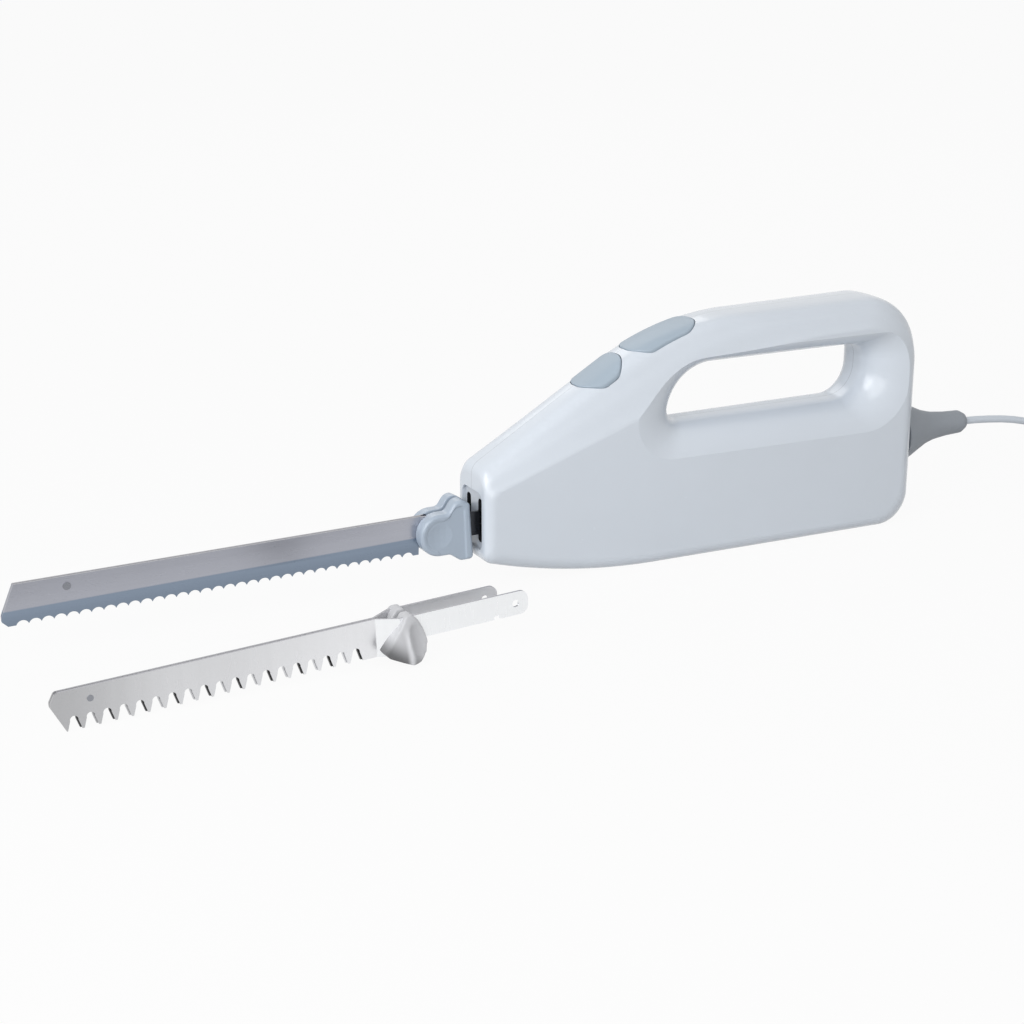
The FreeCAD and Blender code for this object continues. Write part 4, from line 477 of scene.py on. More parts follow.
@dataclass(frozen=True)
class BevelledSteel(BrushedMetal):
    """Blade steel with a darker ground band above its teeth and painted shade on the tang behind the
    guards.
    """

    band_colour: Colour = (0.25, 0.306, 0.39)
    band_top: float = 0.0289
    band_depth: float = 0.008
    band_low_share: float = 0.86
    band_soft: float = 0.0004
    pin_x: float = -0.108
    fall: float = 0.02
    tang_x: float = -0.1565
    # Painted shade: the near-black colour of the tang behind the guards.
    tang_painted_light: Colour = (0.05, 0.052, 0.058)

    def make(self) -> bpy.types.Material:
        """Build the material."""
        shader = Shader(self.name)
        height = shader.axis("Z") + self.fall * (self.pin_x - shader.axis("X"))
        flat = height.past(self.band_top, self.band_soft)
        depth = height.rise(self.band_top - self.band_depth, self.band_top)
        band = shader.mixed(depth, tinted(self.band_colour, self.band_low_share), self.band_colour)
        steel = self.spined(shader, shader.mixed(flat, band, self.colour), UPWARDS)
        # Painted shade over the tang behind the guards.
        tang = shader.axis("X").past(self.tang_x, self.band_soft)
        return self.shade(shader, shader.mixed(tang, steel, self.tang_painted_light))


@dataclass(frozen=True)
class TangedSteel(BrushedMetal):
    """Steel of the spare blades: ground across, duller at the tip, a bare tang with a painted reflection,
    and painted shade in every other gullet.
    """

    tip_share: float = 0.56
    tip_end: float = 0.06
    middle_share: float = 0.82
    # Painted reflection: the tang's near-white colour, a little darker up to the bend.
    tang_painted_light: Colour = (0.95, 0.965, 0.98)
    tang_start: float = 0.1435
    tang_soft: float = 0.0004
    tang_bare: float = 0.8
    bend_share: float = 0.92
    bend_end: float = 0.154
    gullet_first: float = 0.009
    gullet_pitch: float = 0.00694
    gullet_top: float = 0.0069
    gullet_soft: float = 0.0004
    # Painted shade: how dark the walls and inner faces of every other gullet are made.
    gullet_shade_share: float = 0.13
    dark_half: float = 0.5
    dark_soft: float = 0.01
    shaded_wall_facing: tuple = (0.4, 0.6)
    inner_reach: tuple = (0.0003, 0.0004)

    def make(self) -> bpy.types.Material:
        """Build the material."""
        shader = Shader(self.name)
        run = shader.along(SPARE_FRAME.start, SPARE_FRAME.length)
        # Painted reflection on the tang past its start, slightly darker before the bend.
        tang = run.past(self.tang_start, self.tang_soft)
        middle = shader.mixed(run.rise(0.0, self.tip_end), tinted(self.colour, self.tip_share),
                              tinted(self.colour, self.middle_share))
        flat = shader.mixed(run.rise(self.tip_end, self.tang_start), middle, self.colour)
        bend = shader.mixed(run.past(self.bend_end, self.tang_soft),
                            tinted(self.tang_painted_light, self.bend_share), self.tang_painted_light)
        steel = self.spined(shader, shader.mixed(tang, flat, bend), SPARE_FRAME.height)
        # Painted shade in every other gullet, on its walls and on the inner face between the blades.
        gullet_painted_shade = self.gullet_shade(shader, run) * (1 - tang)
        return self.shade(shader, shader.mixed(gullet_painted_shade, steel, tinted(self.colour, self.gullet_shade_share)),
                          1 - (1 - self.tang_bare) * tang)

    def gullet_shade(self, shader: Shader, run: Value) -> Value:
        """Mask of the painted shade on the walls and the inner faces at every other gullet.

        Args:
            shader: the material begun.
            run: distance along the blade from its tip.
        Returns:
            1 on the faces with painted shade, else 0.
        """
        count = (run - (self.gullet_first - self.gullet_pitch / 2)) / (2 * self.gullet_pitch)
        odd = 1 - count.fraction().past(self.dark_half, self.dark_soft)
        shaded_wall = 1 - abs(shader.facing(SPARE_FRAME.width)).rise(*self.shaded_wall_facing)
        inner = 1 - abs(shader.along(SPARE_FRAME.start, SPARE_FRAME.width)).rise(*self.inner_reach)
        height = shader.along(SPARE_FRAME.start, SPARE_FRAME.height)
        low = 1 - height.rise(self.gullet_top, self.gullet_top + self.gullet_soft)
        return shaded_wall.either(inner) * low * odd


@dataclass(frozen=True)
class BandedMetal:
    """Stacked sheets, wound wire or turned bars: bands side by side in two tones."""

    name: str
    colour: Colour
    groove: Colour
    pitch: float
    axis: str = "X"
    metallic: float = 1.0
    roughness: float = 0.4
    relief: float = 0.0001
    warp: float = 0.3
    stain_scale: float = 240.0
    stain_share: float = 0.25
    stain_tint: float = 0.8
    stain_rough: float = 0.15

    def make(self) -> bpy.types.Material:
        """Build the material."""
        shader = Shader(self.name)
        band = shader.stripes(self.pitch, self.axis, self.warp)
        stain = shader.noise(self.stain_scale, Detail.BROKEN)
        tone = shader.mixed(band, self.groove, self.colour)
        colour = shader.mixed(self.stain_share * stain, tone, tinted(self.groove, self.stain_tint))
        return shader.close(Base_Color=colour, Metallic=self.metallic,
                            Roughness=self.roughness + self.stain_rough * stain,
                            Normal=shader.bump(band, self.relief))


@dataclass(frozen=True)
class SoftRubber:
    """Soft moulded grey: matt, slightly dusty, with a fine orange-peel skin."""

    name: str
    colour: Colour
    roughness: float = 0.55
    dust_share: float = 0.07
    dust_scale: float = 130.0
    dust_rough: float = 0.1
    skin_scale: float = 1500.0
    skin_depth: float = 0.00003

    def make(self) -> bpy.types.Material:
        """Build the material."""
        shader = Shader(self.name)
        dust = shader.noise(self.dust_scale, Detail.RAGGED)
        skin = shader.noise(self.skin_scale)
        colour = shader.mixed(dust, tinted(self.colour, 1 - self.dust_share),
                              tinted(self.colour, 1 + self.dust_share))
        return shader.close(Base_Color=colour, Roughness=self.roughness + self.dust_rough * dust,
                            Normal=shader.bump(skin, self.skin_depth))


# The front plate's colour is the shells' white about a fifth darker: painted shade.
SHADED_FRONT = SlottedPlastic("front_shaded_white", (0.51, 0.552, 0.61), 0.2, coat=0.35)
SHELL = SeamedPlastic("shell_white", (0.64, 0.69, 0.755), 0.2, coat=0.35)
PAD = MouldedPlastic("pad_blue_grey", (0.357, 0.43, 0.503), 0.42, 3200.0, 0.00002)
GUARD = MouldedPlastic("guard_blue_grey", (0.377, 0.443, 0.527), 0.3, coat=0.2)
KNOB = KnobPlastic("knob_pale_grey", (0.52, 0.525, 0.546), 0.42)
STEEL = BevelledSteel("blade_steel", (0.447, 0.458, 0.51), Way.LENGTH, 0.3)
# The near spare blade's tang carries a near-white painted reflection, the far blade's tang a darker grey
# one.
SPARE = TangedSteel("spare_steel", (0.855, 0.86, 0.88), Way.HEIGHT, 0.3, 2600.0, 0.06, 0.000003)
SPARE_BACK = TangedSteel("spare_back_steel", (0.855, 0.86, 0.88), Way.LENGTH, 0.3, 900.0, 0.3,
                         tang_painted_light=(0.72, 0.72, 0.74), tang_bare=1.0)
RIVET = BrushedMetal("rivet_steel", (0.3, 0.31, 0.34), Way.LENGTH, 0.28)
BOOT = SoftRubber("boot_grey", (0.31, 0.336, 0.371))
SHEATH = SoftRubber("cord_sheath", (0.65, 0.703, 0.767), 0.42, 0.04)
PLUG = MouldedPlastic("plug_grey", (0.46, 0.5, 0.545), 0.38)
NICKEL = BrushedMetal("nickel_pins", (0.7, 0.69, 0.66), Way.LENGTH, 0.22)
ZINC = BrushedMetal("zinc_screws", (0.56, 0.57, 0.59), Way.WIDTH, 0.34)
SPRING = BandedMetal("spring_wire", (0.52, 0.52, 0.54), (0.3, 0.3, 0.32), 0.0004, "Z")
BLACK = MouldedPlastic("glass_filled_black", (0.035, 0.036, 0.04), 0.5, 1800.0, 0.00003)
FAN = MouldedPlastic("fan_grey", (0.11, 0.13, 0.15), 0.45)
NYLON = MouldedPlastic("natural_nylon", (0.76, 0.73, 0.64), 0.42)
SHAFT = BrushedMetal("ground_shaft", (0.58, 0.59, 0.61), Way.WIDTH, 0.22)
BRONZE = MouldedPlastic("sintered_bronze", (0.32, 0.21, 0.1), 0.5, 3800.0, 0.00004)
SHEETS = BandedMetal("stacked_sheets", (0.3, 0.3, 0.32), (0.09, 0.09, 0.1), 0.0005, "X")
COPPER = BandedMetal("varnished_copper", (0.62, 0.25, 0.1), (0.24, 0.07, 0.03), 0.00045, "Z", 0.85)
BARS = BandedMetal("copper_bars", (0.66, 0.34, 0.18), (0.3, 0.14, 0.07), 0.0008, "X", 1.0, 0.3)
CARBON = MouldedPlastic("pressed_carbon", (0.025, 0.025, 0.027), 0.6, 2600.0, 0.00003)
FILM = MouldedPlastic("dipped_capacitor", (0.5, 0.34, 0.06), 0.25, coat=0.4)

Finish = Union[MouldedPlastic, BrushedMetal, BandedMetal, SoftRubber]


@cache
def material_of(finish: Finish) -> bpy.types.Material:
    """Material of a finish, made once for all its pieces."""
    return finish.make()


class Bench:
    """Hand tools: operators that work on one new mesh at a time."""

    BALL_SIDES = 64
    BALL_RINGS = 32
    MERGE_DISTANCE = 0.000005
    SMOOTHING = 0.5
    SOFT_ANGLE = 60.0

    @staticmethod
    def clear() -> None:
        """Leave edit mode with nothing selected."""
        if bpy.context.object and bpy.context.object.mode != "OBJECT":
            bpy.ops.object.mode_set(mode="OBJECT")
        bpy.ops.object.select_all(action="DESELECT")

    @staticmethod
    def take(piece: bpy.types.Object) -> bpy.types.Object:
        """Make a piece the only one selected."""
        Bench.clear()
        piece.select_set(True)
        bpy.context.view_layer.objects.active = piece
        return piece

    @staticmethod
    def named(name: str) -> bpy.types.Object:
        """Name the active piece and its mesh, and settle its place into the mesh.

        Args:
            name: the new name.
        Returns:
            The piece.
        """
        piece = bpy.context.object
        piece.name = piece.data.name = name
        bpy.ops.object.transform_apply(location=True, rotation=True, scale=True)
        return piece

    @staticmethod
    def block(name: str, middle: Point, size: Point) -> bpy.types.Object:
        """Start a piece from a box."""
        Bench.clear()
        bpy.ops.mesh.primitive_cube_add(size=1.0, location=middle)
        bpy.context.object.scale = size
        return Bench.named(name)

    @staticmethod
    def drum(name: str, middle: Point, radius: float, length: float, turn: Point,
             sides: int = 32) -> bpy.types.Object:
        """Start a piece from a cylinder.

        Args:
            name: the piece's name.
            middle: its centre.
            radius: its radius.
            length: its length.
            turn: how it is turned from upright.
            sides: how many sides it has.
        Returns:
            The piece.
        """
        Bench.clear()
        bpy.ops.mesh.primitive_cylinder_add(vertices=sides, radius=radius, depth=length,
                                            location=middle, rotation=turn)
        return Bench.named(name)

    @staticmethod
    def egg(name: str, middle: Point, size: Point, turn: Point = (0.0, 0.0, 0.0)) -> bpy.types.Object:
        """Start a tool from a stretched ball.

        Args:
            name: the tool's name.
            middle: its centre.
            size: its half sizes.
            turn: how it is turned.
        Returns:
            The tool.
        """
        Bench.clear()
        bpy.ops.mesh.primitive_uv_sphere_add(segments=Bench.BALL_SIDES, ring_count=Bench.BALL_RINGS,
                                             radius=1.0, location=middle, rotation=turn)
        bpy.context.object.scale = size
        return Bench.named(name)

    @staticmethod
    def prism(name: str, outline: Sequence, start: float, depth: float) -> bpy.types.Object:
        """Start a piece or a tool from a side outline, extruded along Y.

        Args:
            name: the piece's name.
            outline: X and Z of its corners.
            start: Y of its first face.
            depth: how far it runs along Y.
        Returns:
            The piece.
        """
        Bench.clear()
        bpy.ops.mesh.primitive_circle_add(vertices=len(outline), fill_type="NGON")
        piece = Bench.named(name)
        for corner, (x, z) in zip(piece.data.vertices, outline):
            corner.co = (x, start, z)
        bpy.ops.object.mode_set(mode="EDIT")
        bpy.ops.mesh.select_all(action="SELECT")
        bpy.ops.mesh.extrude_region_move(TRANSFORM_OT_translate={"value": (0.0, depth, 0.0)})
        bpy.ops.mesh.select_all(action="SELECT")
        bpy.ops.mesh.normals_make_consistent(inside=False)
        bpy.ops.object.mode_set(mode="OBJECT")
        return piece

    @staticmethod
    def carve(piece: bpy.types.Object, tool: bpy.types.Object, operation: str = "DIFFERENCE") -> None:
        """Cut a piece with a tool, or keep what they share, and throw the tool away."""
        Bench.finish(piece, "BOOLEAN", operation=operation, object=tool, solver="EXACT")
        bpy.data.objects.remove(tool)

    @staticmethod
    def soften(piece: bpy.types.Object, grain: float, rounds: int) -> None:
        """Remesh a piece evenly and round its edges off.

        Args:
            piece: the piece to soften.
            grain: size of the new mesh's faces.
            rounds: how many times it is smoothed.
        """
        Bench.finish(piece, "REMESH", mode="VOXEL", voxel_size=grain)
        Bench.finish(piece, "SMOOTH", factor=Bench.SMOOTHING, iterations=rounds)
        Bench.smooth(piece, Bench.SOFT_ANGLE)

    @staticmethod
    def faces(piece: bpy.types.Object, test: Test) -> None:
        """Go into edit mode with the faces selected whose middle and normal pass a test."""
        Bench.take(piece)
        bpy.ops.object.mode_set(mode="EDIT")
        bpy.ops.mesh.select_mode(type="FACE")
        bpy.ops.mesh.select_all(action="DESELECT")
        bpy.ops.object.mode_set(mode="OBJECT")
        for face in piece.data.polygons:
            face.select = test(face.center, face.normal)
        bpy.ops.object.mode_set(mode="EDIT")

    @staticmethod
    def finish(piece: bpy.types.Object, modifier: str, **settings: object) -> None:
        """Add a modifier, set it up and apply it.

        Args:
            piece: the piece to change.
            modifier: the modifier's type.
            settings: the modifier's settings.
        """
        Bench.take(piece)
        added = piece.modifiers.new(modifier.title(), modifier)
        for key, setting in settings.items():
            setattr(added, key, setting)
        bpy.ops.object.modifier_apply(modifier=added.name)

    @staticmethod
    def smooth(piece: bpy.types.Object, angle: float = 35.0) -> None:
        """Shade a piece smooth up to an angle in degrees."""
        Bench.take(piece)
        bpy.ops.object.shade_smooth_by_angle(angle=math.radians(angle))

    @staticmethod
    def joined(name: str, pieces: list) -> bpy.types.Object:
        """Join pieces into one.

        Args:
            name: the new piece's name.
            pieces: the pieces, the first of which stays.
        Returns:
            The joined piece.
        """
        Bench.take(pieces[0])
        for piece in pieces[1:]:
            piece.select_set(True)
        bpy.ops.object.join()
        return Bench.named(name)

    @staticmethod
    def row(piece: bpy.types.Object, shifts: list) -> list:
        """Copy a piece to other places, each copy with its own mesh.

        Args:
            piece: the piece to copy.
            shifts: how far each copy is moved.
        Returns:
            The piece and its copies.
        """
        copies = [piece]
        for shift in shifts:
            copy = piece.copy()
            copy.data = piece.data.copy()
            bpy.context.scene.collection.objects.link(copy)
            copy.location = shift
            copies.append(copy)
        return copies

    @staticmethod
    def copy_of(node: str, name: str) -> bpy.types.Object:
        """Copy a CAD node's mesh into a new piece, with its doubles merged.

        Args:
            node: the CAD node.
            name: the new piece's name.
        Returns:
            The new piece.
        """
        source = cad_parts[node]
        piece = bpy.data.objects.new(name, source.data.copy())
        piece.data.name = name
        piece.data.materials.clear()
        bpy.context.scene.collection.objects.link(piece)
        Bench.take(piece)
        bpy.ops.object.mode_set(mode="EDIT")
        bpy.ops.mesh.select_all(action="SELECT")
        bpy.ops.mesh.remove_doubles(threshold=Bench.MERGE_DISTANCE)
        bpy.ops.object.mode_set(mode="OBJECT")
        return piece


class Assembly:
    """What every sub-assembly can do: dress CAD nodes and settle new pieces."""

    def dress(self, finish: Finish, *nodes: str) -> None:
        """Give CAD nodes a finish.

        Args:
            finish: the finish to make.
            nodes: names of the nodes.
        """
        material = material_of(finish)
        for name in nodes:
            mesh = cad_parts[name].data
            mesh.materials.clear()
            mesh.materials.append(material)
            log.info("%s dressed in %s", name, material.name)

    def settle(self, piece: bpy.types.Object, finish: Finish, body: str, slot: str, *nodes: str) -> None:
        """Dress a new piece, let it ride on a body and stand for CAD nodes.

        Args:
            piece: the new piece.
            finish: the finish to make.
            body: the body it moves with.
            slot: not used.
            nodes: the CAD nodes it replaces.
        """
        piece.data.materials.clear()
        piece.data.materials.append(material_of(finish))
        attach(piece, body)
        if nodes:
            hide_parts(*nodes)
        log.info("%s made, rides on %s", piece.name, body)


@dataclass
class Studio:
    """Camera, lamps, floor and world."""

    eye: Point = (-0.535544, -0.809265, 0.327681)
    look: Point = (0.43177, 0.84740, -0.30902)
    lens: float = 68.555
    sensor: float = 36.0
    clip: tuple = (0.01, 100.0)
    floor_half: float = 30.0
    lamps: tuple = (
        ("key_lamp", (-1.04, -0.45, 0.66), (-0.08, 0.0, 0.06), 0.8, 6.5),
        ("fill_lamp", (-0.75, -0.98, 0.55), (-0.06, 0.0, 0.05), 1.0, 6.4),
        ("back_lamp", (0.3, 1.4, 1.3), (0.0, 0.0, 0.06), 1.0, 4.0))
    sky_strength: float = 0.48
    floor_colour: Colour = (0.55, 0.55, 0.55)
    floor_own_share: float = 0.94
    haze_scale: float = 1.5
    haze_share: float = 0.99

    def build(self) -> None:
        """Make all of it."""
        self.make_camera()
        for name, place, target, size, power in self.lamps:
            self.make_lamp(name, place, target, size, power)
        self.make_floor()
        self.make_world()

    def make_camera(self) -> None:
        """Camera at the photograph's angle."""
        camera = bpy.data.objects.new("camera", bpy.data.cameras.new("camera"))
        bpy.context.scene.collection.objects.link(camera)
        camera.location = self.eye
        camera.rotation_euler = Vector(self.look).to_track_quat("-Z", "Y").to_euler()
        camera.data.lens = self.lens
        camera.data.sensor_width = self.sensor
        camera.data.clip_start, camera.data.clip_end = self.clip
        bpy.context.scene.camera = camera

    def make_lamp(self, name: str, place: Point, target: Point, size: float, power: float) -> None:
        """Soft square lamp that looks at a point.

        Args:
            name: the lamp's name.
            place: where it hangs.
            target: what it looks at.
            size: its side.
            power: its power in watts.
        """
        lamp = bpy.data.objects.new(name, bpy.data.lights.new(name, "AREA"))
        bpy.context.scene.collection.objects.link(lamp)
        lamp.data.size, lamp.data.energy = size, power
        lamp.location = place
        lamp.rotation_euler = (Vector(target) - Vector(place)).to_track_quat("-Z", "Y").to_euler()

    def make_floor(self) -> None:
        """Pale floor that keeps the shadow but looks near white to the camera and in metal."""
        Bench.clear()
        bpy.ops.mesh.primitive_plane_add(size=2 * self.floor_half, location=(0.0, 0.0, 0.0))
        floor = Bench.named("floor")
        shader = Shader("floor_white")
        haze = shader.noise(self.haze_scale)
        colour = shader.mixed(haze, tinted(self.floor_colour, self.haze_share), self.floor_colour)
        paper = shader.node("ShaderNodeBsdfDiffuse", {}, {"Color": colour})
        glow = shader.node("ShaderNodeEmission", {}, {"Color": (*WHITE, 1.0), "Strength": 1.0})
        mix = shader.node("ShaderNodeMixShader", {}, {
            0: shader.seen() * self.floor_own_share, 1: paper, 2: glow})
        shader.node("ShaderNodeOutputMaterial", {}, {"Surface": mix})
        floor.data.materials.append(shader.owner)

    def make_world(self) -> None:
        """Plain sky: soft light, and white where it is seen or mirrored."""
        world = bpy.data.worlds.new("studio")
        bpy.context.scene.world = world
        shader = Shader(world)
        level = self.sky_strength + (1.0 - self.sky_strength) * shader.seen()
        sky = shader.node("ShaderNodeBackground", {}, {"Color": (*WHITE, 1.0), "Strength": level})
        shader.node("ShaderNodeOutputWorld", {}, {"Surface": sky})


@dataclass
class MainsCord(Assembly):
    """Cord from the boot to its put-away coil, tie and plug."""

    radius: float = 0.002
    length: float = 1.43
    exit: Point = (0.154, 0.0, 0.0444)
    lead: tuple = ((0.146, 0.0, 0.0444), (0.164, 0.0, 0.0444), (0.2, 0.0, 0.0396), (0.232, 0.0, 0.026),
                   (0.262, 0.0, 0.0171), (0.278, 0.0, 0.0171))
    tail: tuple = ((0.278, -0.0577, 0.0033), (0.266, -0.0577, 0.0033), (0.25, -0.0527, 0.007),
                   (0.2365, -0.0527, 0.007))
    coil_x: float = 0.282
    coil_inner: float = 0.0185
    coil_pitch: float = 0.0046
    coil_low: float = 0.0033
    turns_per_layer: int = 2
    layers: int = 4
    steps: int = 16
    change_turns: float = 0.5
    extra_turns: float = 0.5
    ring_steps: int = 3
    line_steps: int = 4
    rib_middle: Point = (0.2065, -0.0527, 0.0138)
    rib_size: Point = (0.0014, 0.019, 0.0014)
    rib_pitch: float = 0.0032
    rib_count: int = 5
    rib_round: float = 0.0006
    rib_steps: int = 4

    def coil_point(self, turns: float) -> Point:
        """Place on the coil after some turns: in and out, a layer lower each time.

        Args:
            turns: turns from the coil's start.
        Returns:
            The place.
        """
        layer = min(int(turns / self.turns_per_layer), self.layers - 1)
        within = turns - layer * self.turns_per_layer
        reach = self.turns_per_layer - within if layer % 2 == 0 else within
        spread = self.coil_inner + self.coil_pitch * reach
        drop = sum(min(max((turns - self.turns_per_layer * change) / self.change_turns + 0.5, 0.0), 1.0)
                   for change in range(1, self.layers))
        angle = math.pi / 2 - 2 * math.pi * turns
        outer = self.coil_inner + self.coil_pitch * self.turns_per_layer
        return (self.coil_x + spread * math.cos(angle), spread * math.sin(angle) - outer,
                self.coil_low + self.coil_pitch * (self.layers - 1 - drop))

    def build(self) -> None:
        count = int((self.turns_per_layer * self.layers + self.extra_turns) * self.steps)
        wound = [self.coil_point(step / self.steps) for step in range(count + 1)]
        points = [*self.lead, *wound, *self.tail]
        curve = bpy.data.curves.new("mains_cord", "CURVE")
        curve.dimensions = "3D"
        curve.bevel_depth = self.radius
        curve.bevel_resolution = self.ring_steps
        curve.resolution_u = self.line_steps
        curve.use_fill_caps = True
        line = curve.splines.new("NURBS")
        line.points.add(len(points) - 1)
        for spot, place in zip(line.points, points):
            spot.co = (*place, 1.0)
        line.order_u = 3
        line.use_endpoint_u = True
        cord = bpy.data.objects.new("mains_cord", curve)
        bpy.context.scene.collection.objects.link(cord)
        self.settle(cord, SHEATH, "housing", "cord_grey", "cord_lead", "cord_coil", "cord_tail")
        self.dress(SHEATH, "cord_inlet")
        self.dress(BOOT, "cord_boot", "cord_tie")
        self.dress(BLACK, "cord_clamp")
        self.dress(PLUG, "plug_body")
        self.dress(NICKEL, "plug_pins")
        grip = self.make_grip()

    def make_grip(self) -> bpy.types.Object:
        """Row of rounded grip ribs on the plug's back, modelled once and copied."""
        rib = Bench.block("plug_rib", self.rib_middle, self.rib_size)
        Bench.finish(rib, "BEVEL", width=self.rib_round, segments=self.rib_steps)
        Bench.smooth(rib)
        ribs = Bench.row(rib, [(self.rib_pitch * step, 0.0, 0.0) for step in range(1, self.rib_count)])
        grip = Bench.joined("plug_grip", ribs)
        self.settle(grip, PLUG, "housing", "plug_grey")
        return grip


@dataclass
class Housing(Assembly):
    """White shells, front plate and the screws that hold them."""

    screw_places: tuple = ((-0.124, 0.052), (-0.0586, 0.009), (0.045, 0.012), (0.092, 0.078),
                           (0.012, 0.1096), (-0.05, 0.072))
    screw_seat: float = 0.010
    screw_depth: float = 0.008
    shank_radius: float = 0.0013
    shank_sides: int = 24
    shank_end: float = -0.9
    point_share: float = 0.6
    head_radius: float = 0.0026
    head_height: float = 0.0021
    head_round: float = 0.0006
    head_steps: int = 4
    recess_length: float = 0.0030
    recess_width: float = 0.0007
    recess_depth: float = 0.0011

    def build(self) -> None:
        """Dress the shells and make the screws."""
        self.dress(SHELL, "shell_left", "shell_right")
        self.dress(SHADED_FRONT, "nose_plate")
        self.make_screws()

    def make_screws(self) -> None:
        """Pan-head screws with a cross recess, modelled once and copied."""
        upright = (math.pi / 2, 0.0, 0.0)
        first_x, first_z = self.screw_places[0]
        head = Bench.drum("screw_head", (first_x, self.screw_seat + self.head_height / 2, first_z),
                          self.head_radius, self.head_height, upright)
        Bench.finish(head, "BEVEL", width=self.head_round, segments=self.head_steps, limit_method="ANGLE")
        sizes = (self.recess_length, self.recess_width)
        for long, high in (sizes, sizes[::-1]):
            recess = Bench.block("recess", (first_x, self.screw_seat + self.head_height, first_z),
                                 (long, 2 * self.recess_depth, high))
            Bench.carve(head, recess)
        shank = Bench.drum("screw_shank", (first_x, (self.screw_seat - self.screw_depth) / 2, first_z),
                           self.shank_radius, self.screw_seat + self.screw_depth, upright,
                           self.shank_sides)
        Bench.faces(shank, lambda middle, normal: normal.y < self.shank_end)
        bpy.ops.mesh.inset(thickness=self.shank_radius * self.point_share, depth=self.shank_radius)
        bpy.ops.object.mode_set(mode="OBJECT")
        screw = Bench.joined("screw", [head, shank])
        Bench.smooth(screw)
        screws = Bench.row(screw, [(x - first_x, 0.0, z - first_z) for x, z in self.screw_places[1:]])
        self.settle(Bench.joined("screws", screws), ZINC, "housing", "zinc_steel", "housing_screws")


@dataclass
class Pads(Assembly):
    """The two pads on the slope, their springs and the switch."""

    grain: float = 0.0004
    rounds: int = 5
    travel: float = 0.00305
    release_way: Point = (0.524097, 0.0, -0.851658)
    power_way: Point = (0.297709, 0.0, -0.954657)

    def build(self) -> None:
        """Round the pads' edges off, make the springs and dress the rest."""
        for node in ("release_button", "power_button"):
            pad = Bench.copy_of(node, node.replace("button", "pad"))
            Bench.soften(pad, self.grain, self.rounds)
            self.settle(pad, PAD, node, "button_grey", node)
        self.make_spring("release", self.release_way)
        self.make_spring("power", self.power_way)
        self.dress(BLACK, "switch_body")
        self.dress(NYLON, "switch_plunger")

    def make_spring(self, name: str, way: Point) -> None:
        """Spring under a pad, copied from its CAD node and smoothed; the share of its length that a pressed
        pad leaves is worked out but not applied.

        Args:
            name: which pad it is under.
            way: the way the pad goes down.
        """
        coil = Bench.copy_of(f"{name}_spring", f"{name}_coil")
        Bench.smooth(coil)
        self.settle(coil, SPRING, "housing", "spring_steel", f"{name}_spring")
        places = sorted((corner.co.dot(Vector(way)), tuple(corner.co)) for corner in coil.data.vertices)
        (top, _), (bottom, anchor) = places[0], places[-1]
        keep = 1 - self.travel / (bottom - top)
        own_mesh(coil)


@dataclass
class FittedBlades(Assembly):
    """The two serrated blades in the nose, their finger guards and the rivet."""

    lobe: Point = (-0.1653, 0.008, 0.0287)
    panel_radius: float = 0.0074
    panel_depth: float = 0.0006
    panel_arc: tuple = (95, 265, 10)
    panel_rest: tuple = ((-0.163, 0.016), (-0.1515, 0.012), (-0.1526, 0.0405), (-0.154, 0.0422),
                         (-0.157, 0.0422), (-0.1586, 0.0405), (-0.1608, 0.0372), (-0.1635, 0.0361))
    dish_radius: float = 0.03
    dish_depth: float = 0.0013
    over: float = 0.004
    grain: float = 0.0003
    rounds: int = 4

    def build(self) -> None:
        """Make the guards' sunk panels and dress the blades."""
        for name, side in (("left", -1), ("right", 1)):
            self.make_guard(name, side)
        self.dress(STEEL, "blade_left", "blade_right")
        self.dress(RIVET, "tip_rivet")

    def panel(self) -> list:
        """Outline of a guard's sunk panel, round the lobe and up into the crown."""
        x, _, z = self.lobe
        turns = [math.radians(angle) for angle in range(*self.panel_arc)]
        return [(x + self.panel_radius * math.cos(turn), z + self.panel_radius * math.sin(turn))
                for turn in turns] + list(self.panel_rest)

    def make_guard(self, name: str, side: int) -> None:
        """Guard with a raised rim, a sunk panel and a finger dish.

        Args:
            name: which blade it is on.
            side: -1 for the left side, 1 for the right.
        """
        x, face, z = self.lobe
        guard = Bench.copy_of(f"guard_{name}", f"finger_guard_{name}")
        start = side * (face - self.panel_depth)
        Bench.carve(guard, Bench.prism("panel", self.panel(), start, side * self.over))
        middle = side * (face + self.dish_radius - self.dish_depth)
        Bench.carve(guard, Bench.egg("dish", (x, middle, z), (self.dish_radius,) * 3))
        Bench.soften(guard, self.grain, self.rounds)
        self.settle(guard, GUARD, f"drive_{name}", "guard_grey", f"guard_{name}")


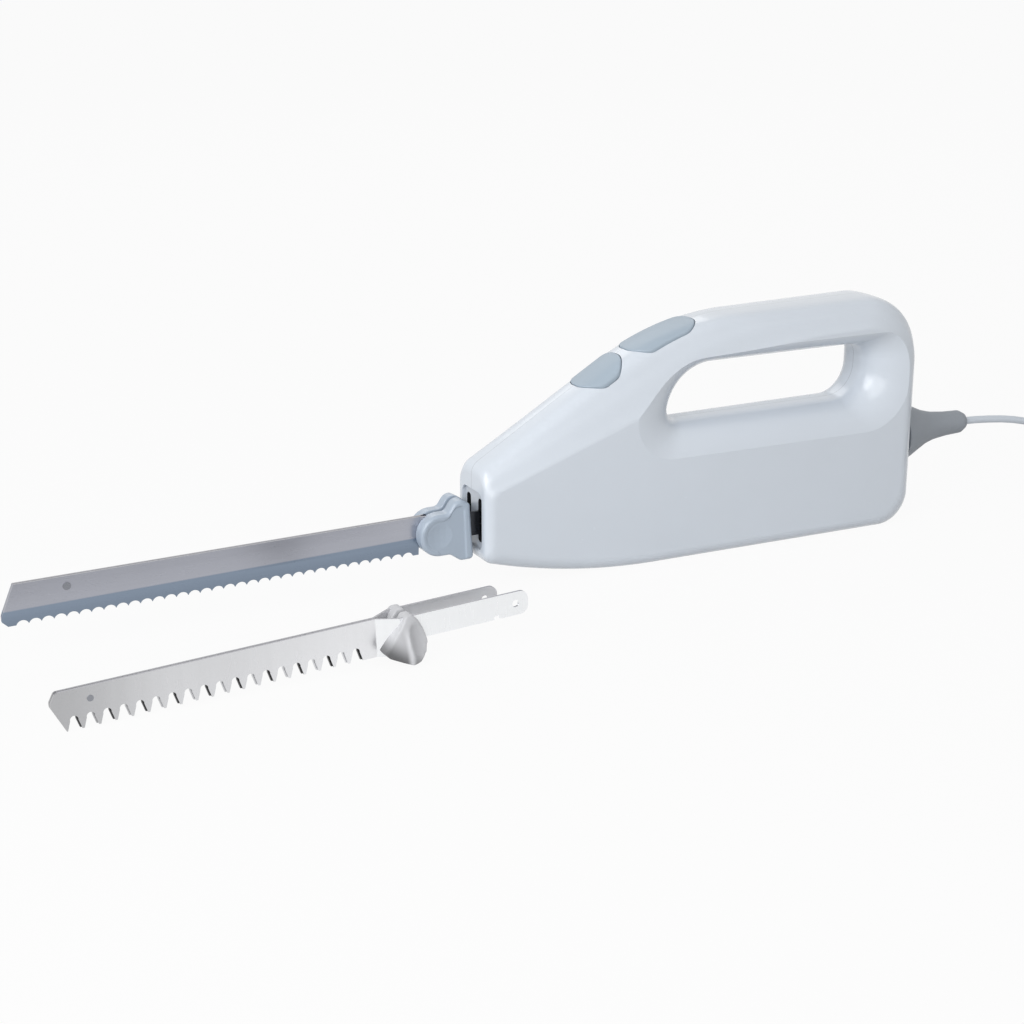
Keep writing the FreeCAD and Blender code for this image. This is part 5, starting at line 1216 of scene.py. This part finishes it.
@dataclass
class SparePair(Assembly):
    """The deep-toothed blades that lie in front of the knife."""

    dome_middle: Point = (0.1545, 0.0, 0.006)
    dome_size: Point = (0.0175, 0.011, 0.0195)
    dish_middle: Point = (0.1616, 0.0128, 0.0045)
    dish_size: Point = (0.0056, 0.0048, 0.016)
    dish_lean: float = -17.0
    outline: tuple = ((0.1446, 0.0032), (0.1486, 0.0099), (0.1523, 0.0146), (0.1554, 0.0186),
                      (0.1586, 0.0186), (0.161, 0.016), (0.1632, 0.0114), (0.165, 0.0056), (0.1644, 0.0),
                      (0.1618, -0.0043), (0.158, -0.0051), (0.1514, -0.0016), (0.1464, 0.0009))
    inner: float = 0.00135
    outer: float = 0.011
    spare_turn: float = 1.8
    grain: float = 0.00035
    rounds: int = 26

    def build(self) -> None:
        """Make the knobs and dress the blades."""
        for name, side in (("left", -1), ("right", 1)):
            self.make_knob(name, side)
        self.dress(SPARE, "spare_blade_left")
        self.dress(SPARE_BACK, "spare_blade_right")
        self.dress(RIVET, "spare_rivet")

    def make_knob(self, name: str, side: int) -> None:
        """Domed knob with a ridge and a thumb hollow behind it.

        Args:
            name: which blade it is on.
            side: -1 for the left side, 1 for the right.
        """
        depth = side * (self.outer - self.inner)
        knob = Bench.prism(f"spare_knob_{name}", self.outline, side * self.inner, depth)
        Bench.take(knob).matrix_world = SPARE_FRAME.matrix()
        Bench.named(knob.name)
        turn = math.radians(self.spare_turn)
        for place, size, lean, operation in (
                (self.dome_middle, self.dome_size, 0.0, "INTERSECT"),
                (self.dish_middle, self.dish_size, self.dish_lean, "DIFFERENCE")):
            length, width, height = place
            middle = SPARE_FRAME.at(length, side * width, height)
            Bench.carve(knob, Bench.egg("form", middle, size, (0.0, math.radians(lean), turn)), operation)
        Bench.soften(knob, self.grain, self.rounds)
        self.settle(knob, KNOB, f"spare_{name}", "spare_knob", f"spare_guard_{name}")


@dataclass
class Drive(Assembly):
    """Latches, drive bars and the worm gear."""

    def build(self) -> None:
        """Dress them."""
        self.dress(SPRING, "latch_left", "latch_right")
        self.dress(ZINC, "drive_bar_left", "drive_bar_right")
        self.dress(BLACK, "gear_frame")
        self.dress(NYLON, "worm_wheel")
        self.dress(SHAFT, "worm", "crank_discs", "wheel_axle")


@dataclass
class Motor(Assembly):
    """Universal motor and what holds it."""

    def build(self) -> None:
        """Dress them."""
        self.dress(SHEETS, "stator_core", "armature_core")
        self.dress(COPPER, "field_coils", "armature_winding")
        self.dress(SHAFT, "motor_shaft")
        self.dress(BARS, "commutator")
        self.dress(CARBON, "carbon_brushes")
        self.dress(BRONZE, "front_bearing", "rear_bearing")
        self.dress(BLACK, "brush_holders", "front_bracket", "rear_bracket")
        self.dress(FAN, "cooling_fan")
        self.dress(ZINC, "motor_bolts")
        self.dress(FILM, "suppressor_capacitor")


def main() -> None:
    """Build the sub-assemblies in order and report each piece."""
    logging.basicConfig(level=logging.INFO, format="%(name)s: %(message)s")
    bpy.context.scene.view_settings.view_transform = "Standard"
    Studio().build()
    for assembly in (MainsCord(), Housing(), Pads(), FittedBlades(), SparePair(), Drive(), Motor()):
        assembly.build()
        log.info("%s done", type(assembly).__name__)


if __name__ == "__main__":
    main()
